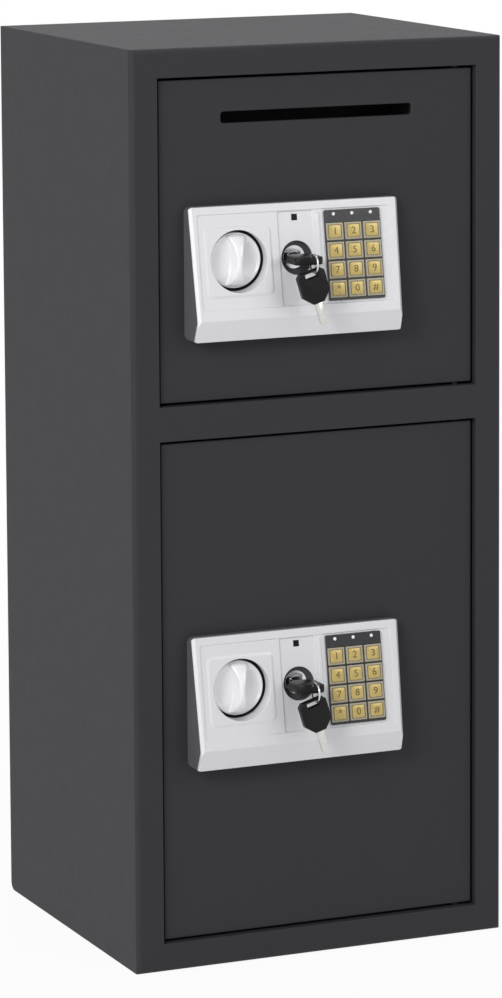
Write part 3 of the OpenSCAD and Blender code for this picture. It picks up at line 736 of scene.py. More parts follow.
class NodeGroup:
    """A Geometry Nodes tree with named inputs."""

    def __init__(self, name):
        self.tree = bpy.data.node_groups.new(name, "GeometryNodeTree")
        self.tree.is_modifier = True
        self.sockets = {}
        self.interface("Geometry", "NodeSocketGeometry", None)
        self.tree.interface.new_socket(
            name="Geometry", in_out="OUTPUT", socket_type="NodeSocketGeometry")
        self.entry = self.tree.nodes.new("NodeGroupInput")
        self.exit = self.tree.nodes.new("NodeGroupOutput")

    def interface(self, name, kind, default):
        socket = self.tree.interface.new_socket(name=name, in_out="INPUT", socket_type=kind)
        if default is not None:
            socket.default_value = default
        self.sockets[name] = socket.identifier

    def given(self, name):
        return self.entry.outputs[name]

    def add(self, kind, inputs=None, **settings):
        """A node with its settings; inputs are values or other nodes' outputs."""
        node = self.tree.nodes.new(kind)
        for key, value in settings.items():
            setattr(node, key, value)
        for key, value in (inputs or {}).items():
            feed(self.tree, node.inputs[key], value)
        return node

    def math(self, operation, first, second):
        return math_node(self.tree, operation, first, second)

    def stepped(self, shape, steps):
        """Raises a flat shape in steps of (lift, factor of size)."""
        chosen = None
        for lift, factor in steps:
            inputs = {"Mesh": shape, "Offset Scale": lift, "Individual": False}
            if chosen is not None:
                inputs["Selection"] = chosen
            grown = self.add("GeometryNodeExtrudeMesh", inputs, mode="FACES")
            chosen = grown.outputs["Top"]
            scaled = self.add("GeometryNodeScaleElements", {
                "Geometry": grown.outputs["Mesh"], "Selection": chosen, "Scale": factor})
            shape = scaled.outputs["Geometry"]
        return shape

    def marked(self, shape, number):
        """Marks every face of the shape with a number for its material."""
        return self.add("GeometryNodeStoreNamedAttribute", {
            "Geometry": shape, "Name": "finish", "Value": number,
        }, data_type="INT", domain="FACE").outputs["Geometry"]

    def end(self, shape, materials):
        """Realizes the instances and sets a material on each marked part."""
        whole = self.add("GeometryNodeRealizeInstances", {"Geometry": shape}).outputs["Geometry"]
        mark = self.add("GeometryNodeInputNamedAttribute", {"Name": "finish"}, data_type="INT")
        for number, material in enumerate(materials):
            same = self.add("FunctionNodeCompare", data_type="INT", operation="EQUAL")
            self.tree.links.new(mark.outputs["Attribute"], same.inputs[2])
            same.inputs[3].default_value = number
            whole = self.add("GeometryNodeSetMaterial", {
                "Geometry": whole, "Selection": same.outputs["Result"],
                "Material": self.given(material)}).outputs["Geometry"]
        self.tree.links.new(whole, self.exit.inputs["Geometry"])

    def apply(self, obj, values):
        """Runs the tree on an object and keeps the result as its plain mesh."""
        modifier = obj.modifiers.new(self.tree.name, "NODES")
        modifier.node_group = self.tree
        for name, value in values.items():
            modifier[self.sockets[name]] = value
        return settle(obj)


def button_tree():
    """A keypad button: a pale frame, a groove, a crowned pillow and a raised digit."""
    group = NodeGroup("keypad_button")
    for name, kind, default in (
            ("Width", "NodeSocketFloat", 15.9 * MM), ("Height", "NodeSocketFloat", 14.9 * MM),
            ("Pillow Width", "NodeSocketFloat", 11.6 * MM),
            ("Pillow Height", "NodeSocketFloat", 11.0 * MM),
            ("Digit", "NodeSocketString", "1"), ("Digit Height", "NodeSocketFloat", 8.6 * MM),
            ("Frame Finish", "NodeSocketMaterial", None),
            ("Pillow Finish", "NodeSocketMaterial", None),
            ("Digit Finish", "NodeSocketMaterial", None)):
        group.interface(name, kind, default)

    def rounded(width, height, radius):
        outline = group.add("GeometryNodeCurvePrimitiveQuadrilateral",
                            {"Width": width, "Height": height}, mode="RECTANGLE")
        eased = group.add("GeometryNodeFilletCurve",
                          {"Curve": outline.outputs["Curve"], "Count": 5, "Radius": radius},
                          mode="POLY")
        filled = group.add("GeometryNodeFillCurve", {
            "Curve": eased.outputs["Curve"]}, mode="NGONS")
        return filled.outputs["Mesh"]

    def lifted(shape, height):
        return group.add("GeometryNodeTransform", {
            "Geometry": shape, "Translation": (0.0, 0.0, height)}).outputs["Geometry"]

    def domed(shape):
        """Brings every point above a shallow dome down to it."""
        place = group.add("ShaderNodeSeparateXYZ", {
            "Vector": group.add("GeometryNodeInputPosition").outputs["Position"]})
        x, y, z = (place.outputs[axis] for axis in "XYZ")
        away = group.math("ADD", group.math("MULTIPLY", x, x), group.math("MULTIPLY", y, y))
        fall = group.math("DIVIDE", away, 2 * PILLOW_RADIUS)
        dome = group.math("SUBTRACT", PILLOW_CREST, fall)
        point = group.add("ShaderNodeCombineXYZ", {
            "X": x, "Y": y, "Z": group.math("MINIMUM", z, dome)})
        return group.add("GeometryNodeSetPosition", {
            "Geometry": shape, "Position": point.outputs["Vector"]}).outputs["Geometry"]

    rim = rounded(group.given("Width"), group.given("Height"), RIM_CORNER)
    rim = group.stepped(rim, (
        (3.1 * MM, 1.0), (0.14 * MM, 0.993), (0.1 * MM, 0.984), (0.05 * MM, 0.97),
        (0.0, 0.845), (-0.9 * MM, 0.99)))
    rim = lifted(rim, RIM_FOOT)
    pillow = rounded(group.given("Pillow Width"), group.given("Pillow Height"), PILLOW_CORNER)
    pillow = group.stepped(pillow, (
        (0.55 * MM, 1.0), (0.28 * MM, 0.975), (0.2 * MM, 0.955), (0.2 * MM, 0.93),
        (0.1 * MM, 0.88), (0.05 * MM, 0.8), (0.05 * MM, 0.68), (0.05 * MM, 0.5)))
    pillow = lifted(domed(pillow), PILLOW_FOOT)
    text = group.add("GeometryNodeStringToCurves", {
        "String": group.given("Digit"), "Size": group.given("Digit Height")},
        align_x="CENTER", align_y="MIDDLE")
    flat = group.add("GeometryNodeFillCurve", {
        "Curve": group.add("GeometryNodeRealizeInstances", {
            "Geometry": text.outputs["Curve Instances"]}).outputs["Geometry"]}, mode="NGONS")
    digit = group.add("GeometryNodeExtrudeMesh", {
        "Mesh": flat.outputs["Mesh"], "Offset Scale": DIGIT_RISE, "Individual": False},
        mode="FACES")
    digit = lifted(digit.outputs["Mesh"], DIGIT_FOOT)
    join = group.add("GeometryNodeJoinGeometry")
    for number, shape in ((2, digit), (1, pillow), (0, rim)):
        group.tree.links.new(group.marked(shape, number), join.inputs["Geometry"])
    group.end(join.outputs["Geometry"], ("Frame Finish", "Pillow Finish", "Digit Finish"))
    return group


def screw_tree():
    """Pan-head screws with a cross recess on the points of a mesh."""
    group = NodeGroup("cover_screws")
    for name, kind, default in (
            ("Radius", "NodeSocketFloat", 4.3 * MM), ("Seed", "NodeSocketInt", 7),
            ("Screw Finish", "NodeSocketMaterial", None)):
        group.interface(name, kind, default)
    disc = group.add("GeometryNodeMeshCircle", {
        "Vertices": 40, "Radius": group.given("Radius")}, fill_type="NGON")
    head = group.stepped(disc.outputs["Mesh"], (
        (1.5 * MM, 1.0), (0.45 * MM, 0.965), (0.35 * MM, 0.91), (0.25 * MM, 0.82),
        (0.15 * MM, 0.7), (0.08 * MM, 0.5)))
    arm = group.math("MULTIPLY", group.given("Radius"), CROSS_REACH)
    slots = group.add("GeometryNodeJoinGeometry")
    for long_x in (True, False):
        size = group.add("ShaderNodeCombineXYZ", {
            "X": arm if long_x else CROSS_WIDTH, "Y": CROSS_WIDTH if long_x else arm,
            "Z": CROSS_HEIGHT})
        bar = group.add("GeometryNodeMeshCube", {"Size": size.outputs["Vector"]})
        placed = group.add("GeometryNodeTransform", {
            "Geometry": bar.outputs["Mesh"], "Translation": (0.0, 0.0, CROSS_UP)})
        group.tree.links.new(placed.outputs["Geometry"], slots.inputs["Geometry"])
    cut = group.add("GeometryNodeMeshBoolean", operation="DIFFERENCE")
    group.tree.links.new(head, cut.inputs["Mesh 1"])
    group.tree.links.new(slots.outputs["Geometry"], cut.inputs["Mesh 2"])
    turn = group.add("FunctionNodeRandomValue", {"Seed": group.given("Seed")}, data_type="FLOAT")
    turn.inputs[2].default_value = 0.0
    turn.inputs[3].default_value = math.pi / 2
    facing = group.add("ShaderNodeCombineXYZ", {
        "X": -math.pi / 2, "Y": turn.outputs[1], "Z": 0.0})
    placed = group.add("GeometryNodeInstanceOnPoints", {
        "Points": group.given("Geometry"), "Instance": cut.outputs["Mesh"],
        "Rotation": facing.outputs["Vector"]})
    group.end(group.marked(placed.outputs["Instances"], 0), ("Screw Finish",))
    return group


# Pieces.


def make_cabinet():
    """The cabinet, its back and the floor between the compartments."""
    sizes = bpy.context.scene.safe_sizes
    for node, name, width in (
            ("cabinet_shell", "cabinet_body", sizes.steel_edge),
            ("back_panel", "cabinet_back", sizes.steel_edge / 2),
            ("divider", "compartment_floor", sizes.steel_edge / 2)):
        dress(node, name, "cabinet", "painted_steel", "powder_coat", width)


def make_doors():
    """Both door leaves."""
    sizes = bpy.context.scene.safe_sizes
    for door in DOORS:
        dress(f"{door}_door_plate", f"{door}_door_leaf", f"{door}_door",
              "painted_steel", "powder_coat", sizes.steel_edge)


def make_hood():
    """The hood behind the letter slot."""
    dress("slot_baffle", "letter_hood", "upper_door",
          "painted_steel", "powder_coat", width=0.25 * MM)


def make_covers():
    """The covers behind the doors, with their battery lids and reset buttons."""
    for door in DOORS:
        dress(f"{door}_inner_cover", f"{door}_works_cover", f"{door}_door",
              "painted_steel", "powder_coat", width=0.45 * MM)
        dress(f"{door}_battery_lid", f"{door}_battery_door", f"{door}_door",
              "black_plastic", "black_plastic", width=0.35 * MM)
        dress(f"{door}_reset_button", f"{door}_reset_cap", f"{door}_reset",
              "red_plastic", "red_plastic", width=0.4 * MM)


def make_screws():
    """Each cover's four screws stand on its posts, one mesh for each door."""
    sizes = bpy.context.scene.safe_sizes
    group = screw_tree()
    for door in DOORS:
        low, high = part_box(f"{door}_inner_cover")
        bm = bmesh.new()
        for x in (low.x + SCREW_INSET, high.x - SCREW_INSET):
            for z in (low.z + SCREW_INSET, high.z - SCREW_INSET):
                bm.verts.new((x, high.y - SCREW_SINK, z))
        piece = from_bmesh(f"{door}_cover_screws", bm)
        group.apply(piece, {
            "Radius": sizes.screw_radius, "Seed": sizes.screw_seed,
            "Screw Finish": FINISHES["zinc_plate"]})
        smooth_by_angle(piece, 40)
        finish_piece(piece, f"{door}_door", "zinc_steel", "zinc_plate")


def make_bolt_works():
    """The bolts, and the coil whose pin blocks them."""
    for door in DOORS:
        bolts = eased_solid(f"{door}_bolt_carriage", f"{door}_bolt_pair", width=0.7 * MM)
        draw_in(bolts, BOLT_PLAY)
        finish_piece(bolts, f"{door}_bolts", "zinc_steel", "zinc_plate", f"{door}_bolt_carriage")
        dress(f"{door}_solenoid", f"{door}_coil_frame", f"{door}_door",
              "zinc_steel", "zinc_plate", width=0.2 * MM)
        dress(f"{door}_plunger", f"{door}_coil_pin", f"{door}_blocker",
              "chrome", "chrome", width=0.2 * MM)


def reshape_pad(bm, door):
    """Gives the pad round the knob smaller corners and sloping flanks."""
    sizes = bpy.context.scene.safe_sizes
    place = face_place(door)
    back = place.inverted()
    middle_x = middle(f"{door}_knob").x - place.translation.x
    half = Vector(PAD_SIZE) / 2
    slack = 0.1 * MM
    for vertex in bm.verts:
        spot = back @ vertex.co
        if not -PAD_STEP - slack < spot.z < slack:
            continue
        x, y = spot.x - middle_x, spot.y + PAD_DOWN
        arm = Vector((abs(x), abs(y))) - half + Vector((PAD_CORNER, PAD_CORNER))
        if min(arm) < -slack or abs(arm.length - PAD_CORNER) > slack:
            continue
        flank = sizes.pad_flank if spot.z > -PAD_STEP / 2 else 0.0
        radius = sizes.pad_corner - flank
        side = sizes.pad_inset + flank + radius
        corner = half - Vector((side, side)) + arm * (radius / PAD_CORNER)
        spot.x = middle_x + math.copysign(corner.x, x)
        spot.y = -PAD_DOWN + math.copysign(corner.y, y)
        vertex.co = place @ spot


def make_panels():
    """The lock panels' housings, silver fronts and sensor windows."""
    sizes = bpy.context.scene.safe_sizes
    for door in DOORS:
        body = f"{door}_door"
        dress(f"{door}_panel_base", f"{door}_lock_housing", body,
              "grey_plastic", "housing_plastic", width=0.3 * MM, merge=0.12 * MM)
        dress(f"{door}_panel_fascia", f"{door}_silver_front", body,
              "silver_plastic", "silver_lacquer", sizes.moulded_edge, merge=0.16 * MM,
              degrees=20.0, segments=3, reshape=lambda bm: reshape_pad(bm, door))
        place = face_place(door)
        x_lock = middle(f"{door}_lock_cylinder").x - place.translation.x
        window = prism(
            f"{door}_sensor_window", square(SENSOR_HALF, SENSOR_HALF), *SENSOR_DEPTHS)
        ease_edges(window, width=0.25 * MM)
        window.data.transform(place @ Matrix.Translation((x_lock, -SENSOR_DOWN, 0)))
        finish_piece(window, body, "black_plastic", "sensor_window")


def knob_dish(x, z, sizes):
    """Depth of the hollows beside the knob's grip at a point of its disc."""
    depth = 0.0
    for side in (-1, 1):
        away = ((x - side * KNOB_DISH_X) ** 2 + z ** 2) / (2 * KNOB_DISH)
        depth = max(depth, sizes.knob_scoop - away)
    return depth


def knob_disc(name, radius, depth, sizes):
    """The knob's round body with two hollows in its front and an eased rim."""
    sectors, rings, bends, ease = 128, 36, 6, 1.1 * MM
    bm = bmesh.new()
    centre = bm.verts.new((0, 0, -knob_dish(0, 0, sizes)))
    previous = None
    for ring in range(1, rings + 1):
        reach = (radius - ease) * ring / rings
        fall = min(max((reach / radius - KNOB_HOLLOW_END) / KNOB_HOLLOW_FALL, 0.0), 1.0)
        fall = fall * fall * (3 - 2 * fall)
        verts = []
        for n in range(sectors):
            angle = 2 * math.pi * n / sectors
            x, z = reach * math.cos(angle), reach * math.sin(angle)
            verts.append(bm.verts.new((x, z, -knob_dish(x, z, sizes) * (1 - fall))))
        join_rings(bm, previous, verts, centre)
        previous = verts
    for turn in range(1, bends + 1):
        angle = math.pi / 2 * turn / bends
        verts = ring_of(bm, radius - ease + ease * math.sin(angle),
                        -ease * (1 - math.cos(angle)), sectors)
        join_rings(bm, previous, verts, centre)
        previous = verts
    verts = ring_of(bm, radius, -depth, sectors)
    join_rings(bm, previous, verts, centre)
    bm.faces.new(list(reversed(verts)))
    bmesh.ops.recalc_face_normals(bm, faces=bm.faces)
    return from_bmesh(name, bm)


def knob_grip(name, reach, sizes):
    """The knob's upright grip: narrow at its middle, arched, with a softly rising foot."""
    rows, widest, foot, apart = 60, 0.97 * reach, -3.4 * MM, 0.02 * MM
    shoulder = (
        (2.6, -0.5), (1.9, 0.02), (1.3, 0.12), (0.8, 0.34), (0.45, 0.75), (0.22, 1.35), (0.1, 2.1))
    crown = ((0.0, 1.9), (-0.12, 1.2), (-0.4, 0.62), (-0.85, 0.25), (-1.45, 0.07))
    bm = bmesh.new()
    previous = None
    for row in range(rows + 1):
        share = -1 + 2 * row / rows
        z0 = share * reach
        half = sizes.knob_waist + KNOB_FLANK - math.sqrt(KNOB_FLANK ** 2 - z0 ** 2)
        crest = sizes.knob_ridge - KNOB_DOME + math.sqrt(KNOB_DOME ** 2 - z0 ** 2)
        end = max(0.0, (abs(share) - GRIP_END) / GRIP_FALL)
        crest = crest * math.sqrt(max(0.0, 1 - end ** 2)) - GRIP_DIP * end
        left = [(half + out * MM, rise * MM) for out, rise in shoulder]
        left += [(half + out * MM, crest - drop * MM) for out, drop in crown]
        left = [(x, min(height, crest - apart)) for x, height in left]
        profile = [(-x, height) for x, height in left] + [(0.0, crest)]
        profile += [(x, height) for x, height in reversed(left)]
        verts = []
        for x, height in profile:
            x = max(-widest, min(widest, x))
            z = share * math.sqrt(max(reach ** 2 - x ** 2, 0.0))
            verts.append(bm.verts.new((x, z, height - knob_dish(x, z, sizes))))
        for x in (profile[-1][0], profile[0][0]):
            z = share * math.sqrt(max(reach ** 2 - x ** 2, 0.0))
            verts.append(bm.verts.new((x, z, foot)))
        if previous is None:
            bm.faces.new(verts)
        else:
            join_rings(bm, previous, verts, None)
        previous = verts
    bm.faces.new(list(reversed(previous)))
    bmesh.ops.recalc_face_normals(bm, faces=bm.faces)
    return from_bmesh(name, bm)


def make_knobs():
    """The knobs, each with its crank behind it."""
    sizes = bpy.context.scene.safe_sizes
    clear, inset, overlap = 1 * MM, 0.7 * MM, 0.5 * MM
    for door in DOORS:
        node = f"{door}_knob"
        low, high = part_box(node)
        radius = (high.x - low.x) / 2
        y_rim = low.y + sizes.knob_ridge
        place = front_place((low.x + high.x) / 2, y_rim, (low.z + high.z) / 2)
        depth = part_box(f"{door}_door_plate")[0].y - y_rim - clear
        front = combine(knob_disc(f"{door}_knob_disc", radius, depth, sizes),
                        knob_grip(f"{door}_knob_grip", radius - inset, sizes), "UNION")
        front.data.transform(place)
        # The knob gets the lightened silver, which is painted light making up for the shade in its
        # well.
        front.data.materials.clear()
        front.data.materials.append(FINISHES["knob_lacquer_lightened"])
        rear = from_bmesh(f"{door}_knob_crank", cut_behind(node, y_rim + depth - overlap))
        rear.data.materials.clear()
        ease_edges(rear, width=0.2 * MM)
        rear.data.materials.append(FINISHES["zinc_plate"])
        knob = joined(f"{door}_turn_knob", [front, rear])
        smooth_by_angle(knob, 40)
        finish_piece(knob, f"{door}_knob_turner", "silver_plastic", "knob_lacquer_lightened", node)


def cut_behind(node, y):
    """The part of a solid that lies behind a depth, closed at the cut."""
    bm = solid_mesh(node)
    geometry = list(bm.verts) + list(bm.edges) + list(bm.faces)
    bmesh.ops.bisect_plane(
        bm, geom=geometry, plane_co=(0, y, 0), plane_no=(0, -1, 0), clear_outer=True)
    open_edges = [edge for edge in bm.edges if edge.is_boundary]
    bmesh.ops.holes_fill(bm, edges=open_edges, sides=0)
    for face in bm.faces:
        face.material_index = 0
    return bm


def make_lock_barrels():
    """The key locks' barrels and cores."""
    for door in DOORS:
        dress(f"{door}_lock_cylinder", f"{door}_lock_barrel", f"{door}_door",
              "chrome", "chrome", width=0.35 * MM)
        dress(f"{door}_lock_plug", f"{door}_lock_core", f"{door}_plug",
              "zinc_steel", "chrome", width=0.25 * MM)


def make_keypads():
    """The keypads' black frames and the lamps in their strips."""
    for door in DOORS:
        body = f"{door}_door"
        dress(f"{door}_keypad_bezel", f"{door}_keypad_frame", body,
              "black_plastic", "keypad_black", width=0.18 * MM, merge=0.04 * MM)
        place = face_place(door)
        lamps = []
        for number in range(3):
            spot = button_spot(number)
            lens = lathe(f"{door}_lamp_{number + 1}", [
                (0, -LAMP_FOOT), (1.5 * MM, -LAMP_FOOT), (1.5 * MM, 0.1 * MM),
                (1.4 * MM, 0.3 * MM), (1.1 * MM, 0.45 * MM), (0.6 * MM, 0.55 * MM),
                (0, 0.58 * MM)], 32)
            lens.data.transform(place @ Matrix.Translation(
                (spot.x, -KEYPAD_DOWN - LAMP_DOWN, KEYPAD_OUT - LAMP_DEPTH + LAMP_FOOT)))
            lens.data.materials.append(FINISHES["lamp_lens"])
            lamps.append(lens)
        strip = joined(f"{door}_status_lamps", lamps)
        smooth_by_angle(strip, 50)
        finish_piece(strip, body, "silver_plastic", "lamp_lens")


def make_buttons():
    """The keypads' buttons with their digits."""
    sizes = bpy.context.scene.safe_sizes
    group = button_tree()
    for door in DOORS:
        place = face_place(door)
        for number, (key, digit) in enumerate(BUTTONS):
            name = f"{door}_key_cap_{key}"
            piece = link_object(name, bpy.data.meshes.new(name))
            group.apply(piece, {
                "Width": sizes.button_width, "Height": sizes.button_height,
                "Digit": digit, "Digit Height": sizes.digit_height,
                "Frame Finish": FINISHES["button_frame"],
                "Pillow Finish": FINISHES["gold_plate"],
                "Digit Finish": FINISHES["digit_bronze"]})
            piece.data.transform(place @ Matrix.Translation(button_spot(number)))
            smooth_by_angle(piece, 38)
            finish_piece(piece, f"{door}_press_{key}", "gold_plastic", "gold_plate",
                         f"{door}_button_{key}")


def key_grip():
    """The black grip of a key lying flat, with its slot for the ring."""
    end = KEY_GRIP_LENGTH
    outline = [(5 * MM, -3 * MM), (12.8 * MM, 5 * MM), (12.8 * MM, end - 3 * MM),
               (9.8 * MM, end)]
    outline += [(-x, y) for x, y in reversed(outline)]
    grip = prism("key_grip", outline, -KEY_GRIP_HALF, KEY_GRIP_HALF)
    slot = prism("key_slot", square(*KEY_SLOT_HALF, end - KEY_SLOT_DOWN), -5 * MM, 5 * MM)
    combine(grip, slot, "DIFFERENCE")
    ease_edges(grip, width=0.8 * MM, degrees=25.0, segments=4)
    grip.data.materials.append(FINISHES["black_plastic"])
    return grip


def key_blade():
    """The notched metal blade of a key, pointing away from its grip."""
    half = KEY_BLADE_HALF
    tip = -KEY_SHANK - KEY_BLADE
    right = [(half, 0.0)]
    y = -KEY_SHANK - 2.0 * MM
    for depth in (0.7, 1.5, 1.0):
        right += [(half, y), (half - depth * MM, y - 1.2 * MM),
                  (half - depth * MM, y - 2.0 * MM), (half, y - 3.2 * MM)]
        y -= 3.6 * MM
    outline = [(-half, 0.0), (-half, tip + 2 * MM), (-1 * MM, tip), (1 * MM, tip)]
    outline += [(half - 0.2 * MM, tip + 1.0 * MM)] + list(reversed(right))
    blade = prism("key_blade", outline, -1 * MM, 1 * MM)
    ease_edges(blade, width=0.22 * MM, degrees=30.0)
    blade.data.materials.append(FINISHES["nickel_blade"])
    return blade


def make_keys():
    """The key in each lock, its ring and the spare key on the ring."""
    for door in DOORS:
        x_lock, _, z_lock = JOINTS[f"{door}_plug_turn"]["pos_m"]
        y_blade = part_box(f"{door}_key")[0].y + KEY_GRIP_LENGTH
        key = joined(f"{door}_lock_key_shape", [key_grip(), key_blade()])
        flip = Matrix.Scale(-1, 4, (0, 1, 0))
        key.data.transform(Matrix.Translation((x_lock, y_blade, z_lock)) @ flip)
        key.data.flip_normals()
        smooth_by_angle(key, 35)
        finish_piece(key, f"{door}_lock_key", "black_plastic", "black_plastic", f"{door}_key")
        dress(f"{door}_key_ring", f"{door}_ring_wire", f"{door}_ring",
              "chrome", "chrome", width=0.0, degrees=60)
        hang = Vector(JOINTS[f"{door}_spare_swing"]["pos_m"])
        spare = joined(f"{door}_spare_key_shape", [key_grip(), key_blade()])
        spare.data.transform(
            Matrix.Translation(hang) @ Matrix.Rotation(-SPARE_LEAN, 4, "Y")
            @ Matrix.Translation((-HANG_X, 0, KEY_SLOT_DOWN - KEY_GRIP_LENGTH - HANG_UP))
            @ Matrix.Rotation(math.pi / 2, 4, "X"))
        smooth_by_angle(spare, 35)
        finish_piece(spare, f"{door}_spare", "black_plastic", "black_plastic", f"{door}_spare_key")


# Stage.


def see_as_white(tree, lit, strength):
    """Mixes a shader with plain white light for what the camera and mirrors see."""
    path = tree.nodes.new("ShaderNodeLightPath")
    direct = math_node(
        tree, "MAXIMUM", path.outputs["Is Camera Ray"], path.outputs["Is Glossy Ray"])
    seen = math_node(tree, "MAXIMUM", direct, path.outputs["Is Transmission Ray"])
    share = math_node(tree, "MULTIPLY", seen, strength)
    white = tree.nodes.new("ShaderNodeEmission")
    white.inputs["Color"].default_value = (1, 1, 1, 1)
    white.inputs["Strength"].default_value = 1.0
    mix = tree.nodes.new("ShaderNodeMixShader")
    tree.links.new(share, mix.inputs["Fac"])
    tree.links.new(lit, mix.inputs[1])
    tree.links.new(white.outputs[0], mix.inputs[2])
    return mix.outputs[0]


def make_floor():
    """A wide pale floor that fades to white away from the safe."""
    colours = bpy.context.scene.safe_colours
    bm = bmesh.new()
    bmesh.ops.create_grid(bm, x_segments=8, y_segments=8, size=FLOOR_REACH)
    floor = from_bmesh("studio_floor", bm)
    finish = Finish("studio_floor", tuple(colours.floor), 0.9)
    finish.mottle(0.8, shade(colours.floor, 0.99), shade(colours.floor, 1.01))
    output = next(n for n in finish.tree.nodes if n.type == "OUTPUT_MATERIAL")
    away = finish.tree.nodes.new("ShaderNodeVectorMath")
    away.operation = "LENGTH"
    finish.link(finish.place, away.inputs[0])
    share = finish.ranged(away.outputs["Value"], *FLOOR_WHITE, *FLOOR_FADE)
    seen = see_as_white(finish.tree, finish.shader.outputs["BSDF"], share)
    finish.link(seen, output.inputs["Surface"])
    floor.data.materials.append(finish.material)


def make_world():
    """Even light from all round, in front of a white backdrop."""
    world = bpy.data.worlds.new("studio_air")
    bpy.context.scene.world = world
    world.use_nodes = True
    tree = world.node_tree
    tree.nodes.clear()
    air = tree.nodes.new("ShaderNodeBackground")
    air.inputs["Color"].default_value = (1, 1, 1, 1)
    air.inputs["Strength"].default_value = AIR_STRENGTH
    output = tree.nodes.new("ShaderNodeOutputWorld")
    tree.links.new(see_as_white(tree, air.outputs[0], 1.0), output.inputs["Surface"])


def make_lamp(name, place, target, size, power):
    """A soft square lamp that looks at a target."""
    data = bpy.data.lights.new(name, "AREA")
    data.shape = "RECTANGLE"
    data.size, data.size_y = size
    data.energy = power
    lamp = bpy.data.objects.new(name, data)
    lamp.location = place
    lamp.rotation_euler = (Vector(target) - Vector(place)).to_track_quat("-Z", "Y").to_euler()
    bpy.context.scene.collection.objects.link(lamp)


def make_lamps():
    """Four softboxes round the safe: place, size in metres and power in watts."""
    middle_of_safe = (0, 0, 0.4)
    for name, place, size, power in (
            ("key_softbox", (-2.6, -2.2, 2.0), (1.0, 1.0), 62),
            ("right_softbox", (2.1, -2.7, 1.9), (2.0, 1.6), 21),
            ("left_softbox", (-2.9, -1.1, 1.2), (1.4, 2.4), 17),
            ("top_softbox", (0.4, 0.5, 3.0), (2.2, 2.2), 12)):
        make_lamp(name, place, middle_of_safe, size, power)


def make_camera():
    """The camera at the photograph's viewing angle, with part of its lens shift."""
    data = bpy.data.cameras.new("view_camera")
    data.sensor_width = 36
    data.lens = CAMERA_LENS
    data.shift_y = CAMERA_SHIFT
    data.clip_start, data.clip_end = 0.05, 200
    camera = bpy.data.objects.new("view_camera", data)
    azimuth, elevation, roll = (math.radians(angle) for angle in CAMERA_TURN)
    ahead = Vector((math.sin(azimuth) * math.cos(elevation),
                    math.cos(azimuth) * math.cos(elevation), math.sin(elevation)))
    right = ahead.cross(Vector((0, 0, 1))).normalized()
    up = right.cross(ahead)
    x_axis = right * math.cos(roll) + up * math.sin(roll)
    y_axis = up * math.cos(roll) - right * math.sin(roll)
    place = Matrix((x_axis, y_axis, -ahead)).transposed().to_4x4()
    place.translation = Vector(CAMERA_PLACE)
    camera.matrix_world = place
    bpy.context.scene.collection.objects.link(camera)
    bpy.context.scene.camera = camera


def make_stage():
    """The floor, the light and the camera."""
    bpy.context.scene.view_settings.view_transform = "Standard"
    make_floor()
    make_world()
    make_lamps()
    make_camera()


# Operators.


def run_step(step, made):
    """Runs one step and stops the script if it made nothing new."""
    before = len(bpy.data.objects)
    step()
    if len(bpy.data.objects) == before:
        raise RuntimeError(f"{made} could not be made")
    return {"FINISHED"}


class SAFE_OT_cabinet(bpy.types.Operator):
    """Make the cabinet, its back and the floor between the compartments"""

    bl_idname = "safe.cabinet"
    bl_label = "Cabinet"

    def execute(self, context):
        return run_step(make_cabinet, "the cabinet")


class SAFE_OT_doors(bpy.types.Operator):
    """Make both door leaves"""

    bl_idname = "safe.doors"
    bl_label = "Door Leaves"

    def execute(self, context):
        return run_step(make_doors, "the doors")


class SAFE_OT_hood(bpy.types.Operator):
    """Make the hood behind the letter slot"""

    bl_idname = "safe.hood"
    bl_label = "Letter Hood"

    def execute(self, context):
        return run_step(make_hood, "the hood")


class SAFE_OT_covers(bpy.types.Operator):
    """Make the covers behind the doors with their lids and reset buttons"""

    bl_idname = "safe.covers"
    bl_label = "Works Covers"

    def execute(self, context):
        return run_step(make_covers, "the covers")


class SAFE_OT_screws(bpy.types.Operator):
    """Make the screws of the covers"""

    bl_idname = "safe.screws"
    bl_label = "Cover Screws"

    def execute(self, context):
        return run_step(make_screws, "the screws")


class SAFE_OT_bolt_works(bpy.types.Operator):
    """Make the bolts, the coils and their pins"""

    bl_idname = "safe.bolt_works"
    bl_label = "Bolt Works"

    def execute(self, context):
        return run_step(make_bolt_works, "the bolt works")


class SAFE_OT_panels(bpy.types.Operator):
    """Make the lock panels' housings, silver fronts and sensor windows"""

    bl_idname = "safe.panels"
    bl_label = "Lock Panels"

    def execute(self, context):
        return run_step(make_panels, "the lock panels")


class SAFE_OT_knobs(bpy.types.Operator):
    """Make the turning knobs"""

    bl_idname = "safe.knobs"
    bl_label = "Knobs"

    def execute(self, context):
        return run_step(make_knobs, "the knobs")


class SAFE_OT_lock_barrels(bpy.types.Operator):
    """Make the key locks' barrels and cores"""

    bl_idname = "safe.lock_barrels"
    bl_label = "Lock Barrels"

    def execute(self, context):
        return run_step(make_lock_barrels, "the lock barrels")


class SAFE_OT_keypads(bpy.types.Operator):
    """Make the keypads' black frames and lamps"""

    bl_idname = "safe.keypads"
    bl_label = "Keypad Frames"

    def execute(self, context):
        return run_step(make_keypads, "the keypad frames")


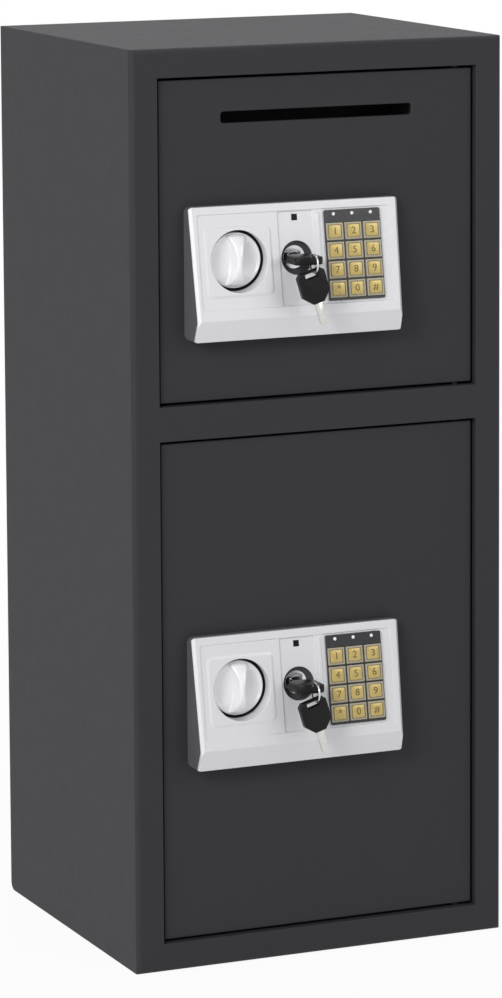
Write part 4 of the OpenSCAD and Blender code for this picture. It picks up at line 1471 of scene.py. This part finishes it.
class SAFE_OT_buttons(bpy.types.Operator):
    """Make the keypads' buttons with their digits"""

    bl_idname = "safe.buttons"
    bl_label = "Keypad Buttons"

    def execute(self, context):
        return run_step(make_buttons, "the buttons")


class SAFE_OT_keys(bpy.types.Operator):
    """Make the keys, their rings and the spare keys"""

    bl_idname = "safe.keys"
    bl_label = "Keys"

    def execute(self, context):
        return run_step(make_keys, "the keys")


class SAFE_OT_stage(bpy.types.Operator):
    """Make the floor, the lamps and the camera"""

    bl_idname = "safe.stage"
    bl_label = "Stage"

    def execute(self, context):
        return run_step(make_stage, "the stage")


STEPS = (
    SAFE_OT_cabinet, SAFE_OT_doors, SAFE_OT_hood, SAFE_OT_covers, SAFE_OT_screws,
    SAFE_OT_bolt_works, SAFE_OT_panels, SAFE_OT_knobs, SAFE_OT_lock_barrels,
    SAFE_OT_keypads, SAFE_OT_buttons, SAFE_OT_keys, SAFE_OT_stage,
)


class SAFE_PT_pieces(bpy.types.Panel):
    """Lists the safe's sizes, its colours and the steps that make its pieces"""

    bl_idname = "SAFE_PT_pieces"
    bl_label = "Drop Safe"
    bl_space_type = "VIEW_3D"
    bl_region_type = "UI"
    bl_category = "Drop Safe"

    def draw(self, context):
        column = self.layout.column(align=True)
        for group in (context.scene.safe_sizes, context.scene.safe_colours):
            for name in group.__annotations__:
                column.prop(group, name)
        for step in STEPS:
            column.operator(step.bl_idname)


CLASSES = (SafeSizes, SafeColours, *STEPS, SAFE_PT_pieces)


def register():
    for cls in CLASSES:
        bpy.utils.register_class(cls)
    bpy.types.Scene.safe_sizes = PointerProperty(type=SafeSizes)
    bpy.types.Scene.safe_colours = PointerProperty(type=SafeColours)


def unregister():
    del bpy.types.Scene.safe_colours
    del bpy.types.Scene.safe_sizes
    for cls in reversed(CLASSES):
        bpy.utils.unregister_class(cls)


def main():
    """Makes every piece and the stage."""
    register()
    FINISHES.update(make_finishes())
    for step in STEPS:
        group, name = step.bl_idname.split(".")
        getattr(getattr(bpy.ops, group), name)()


if __name__ == "__main__":
    main()
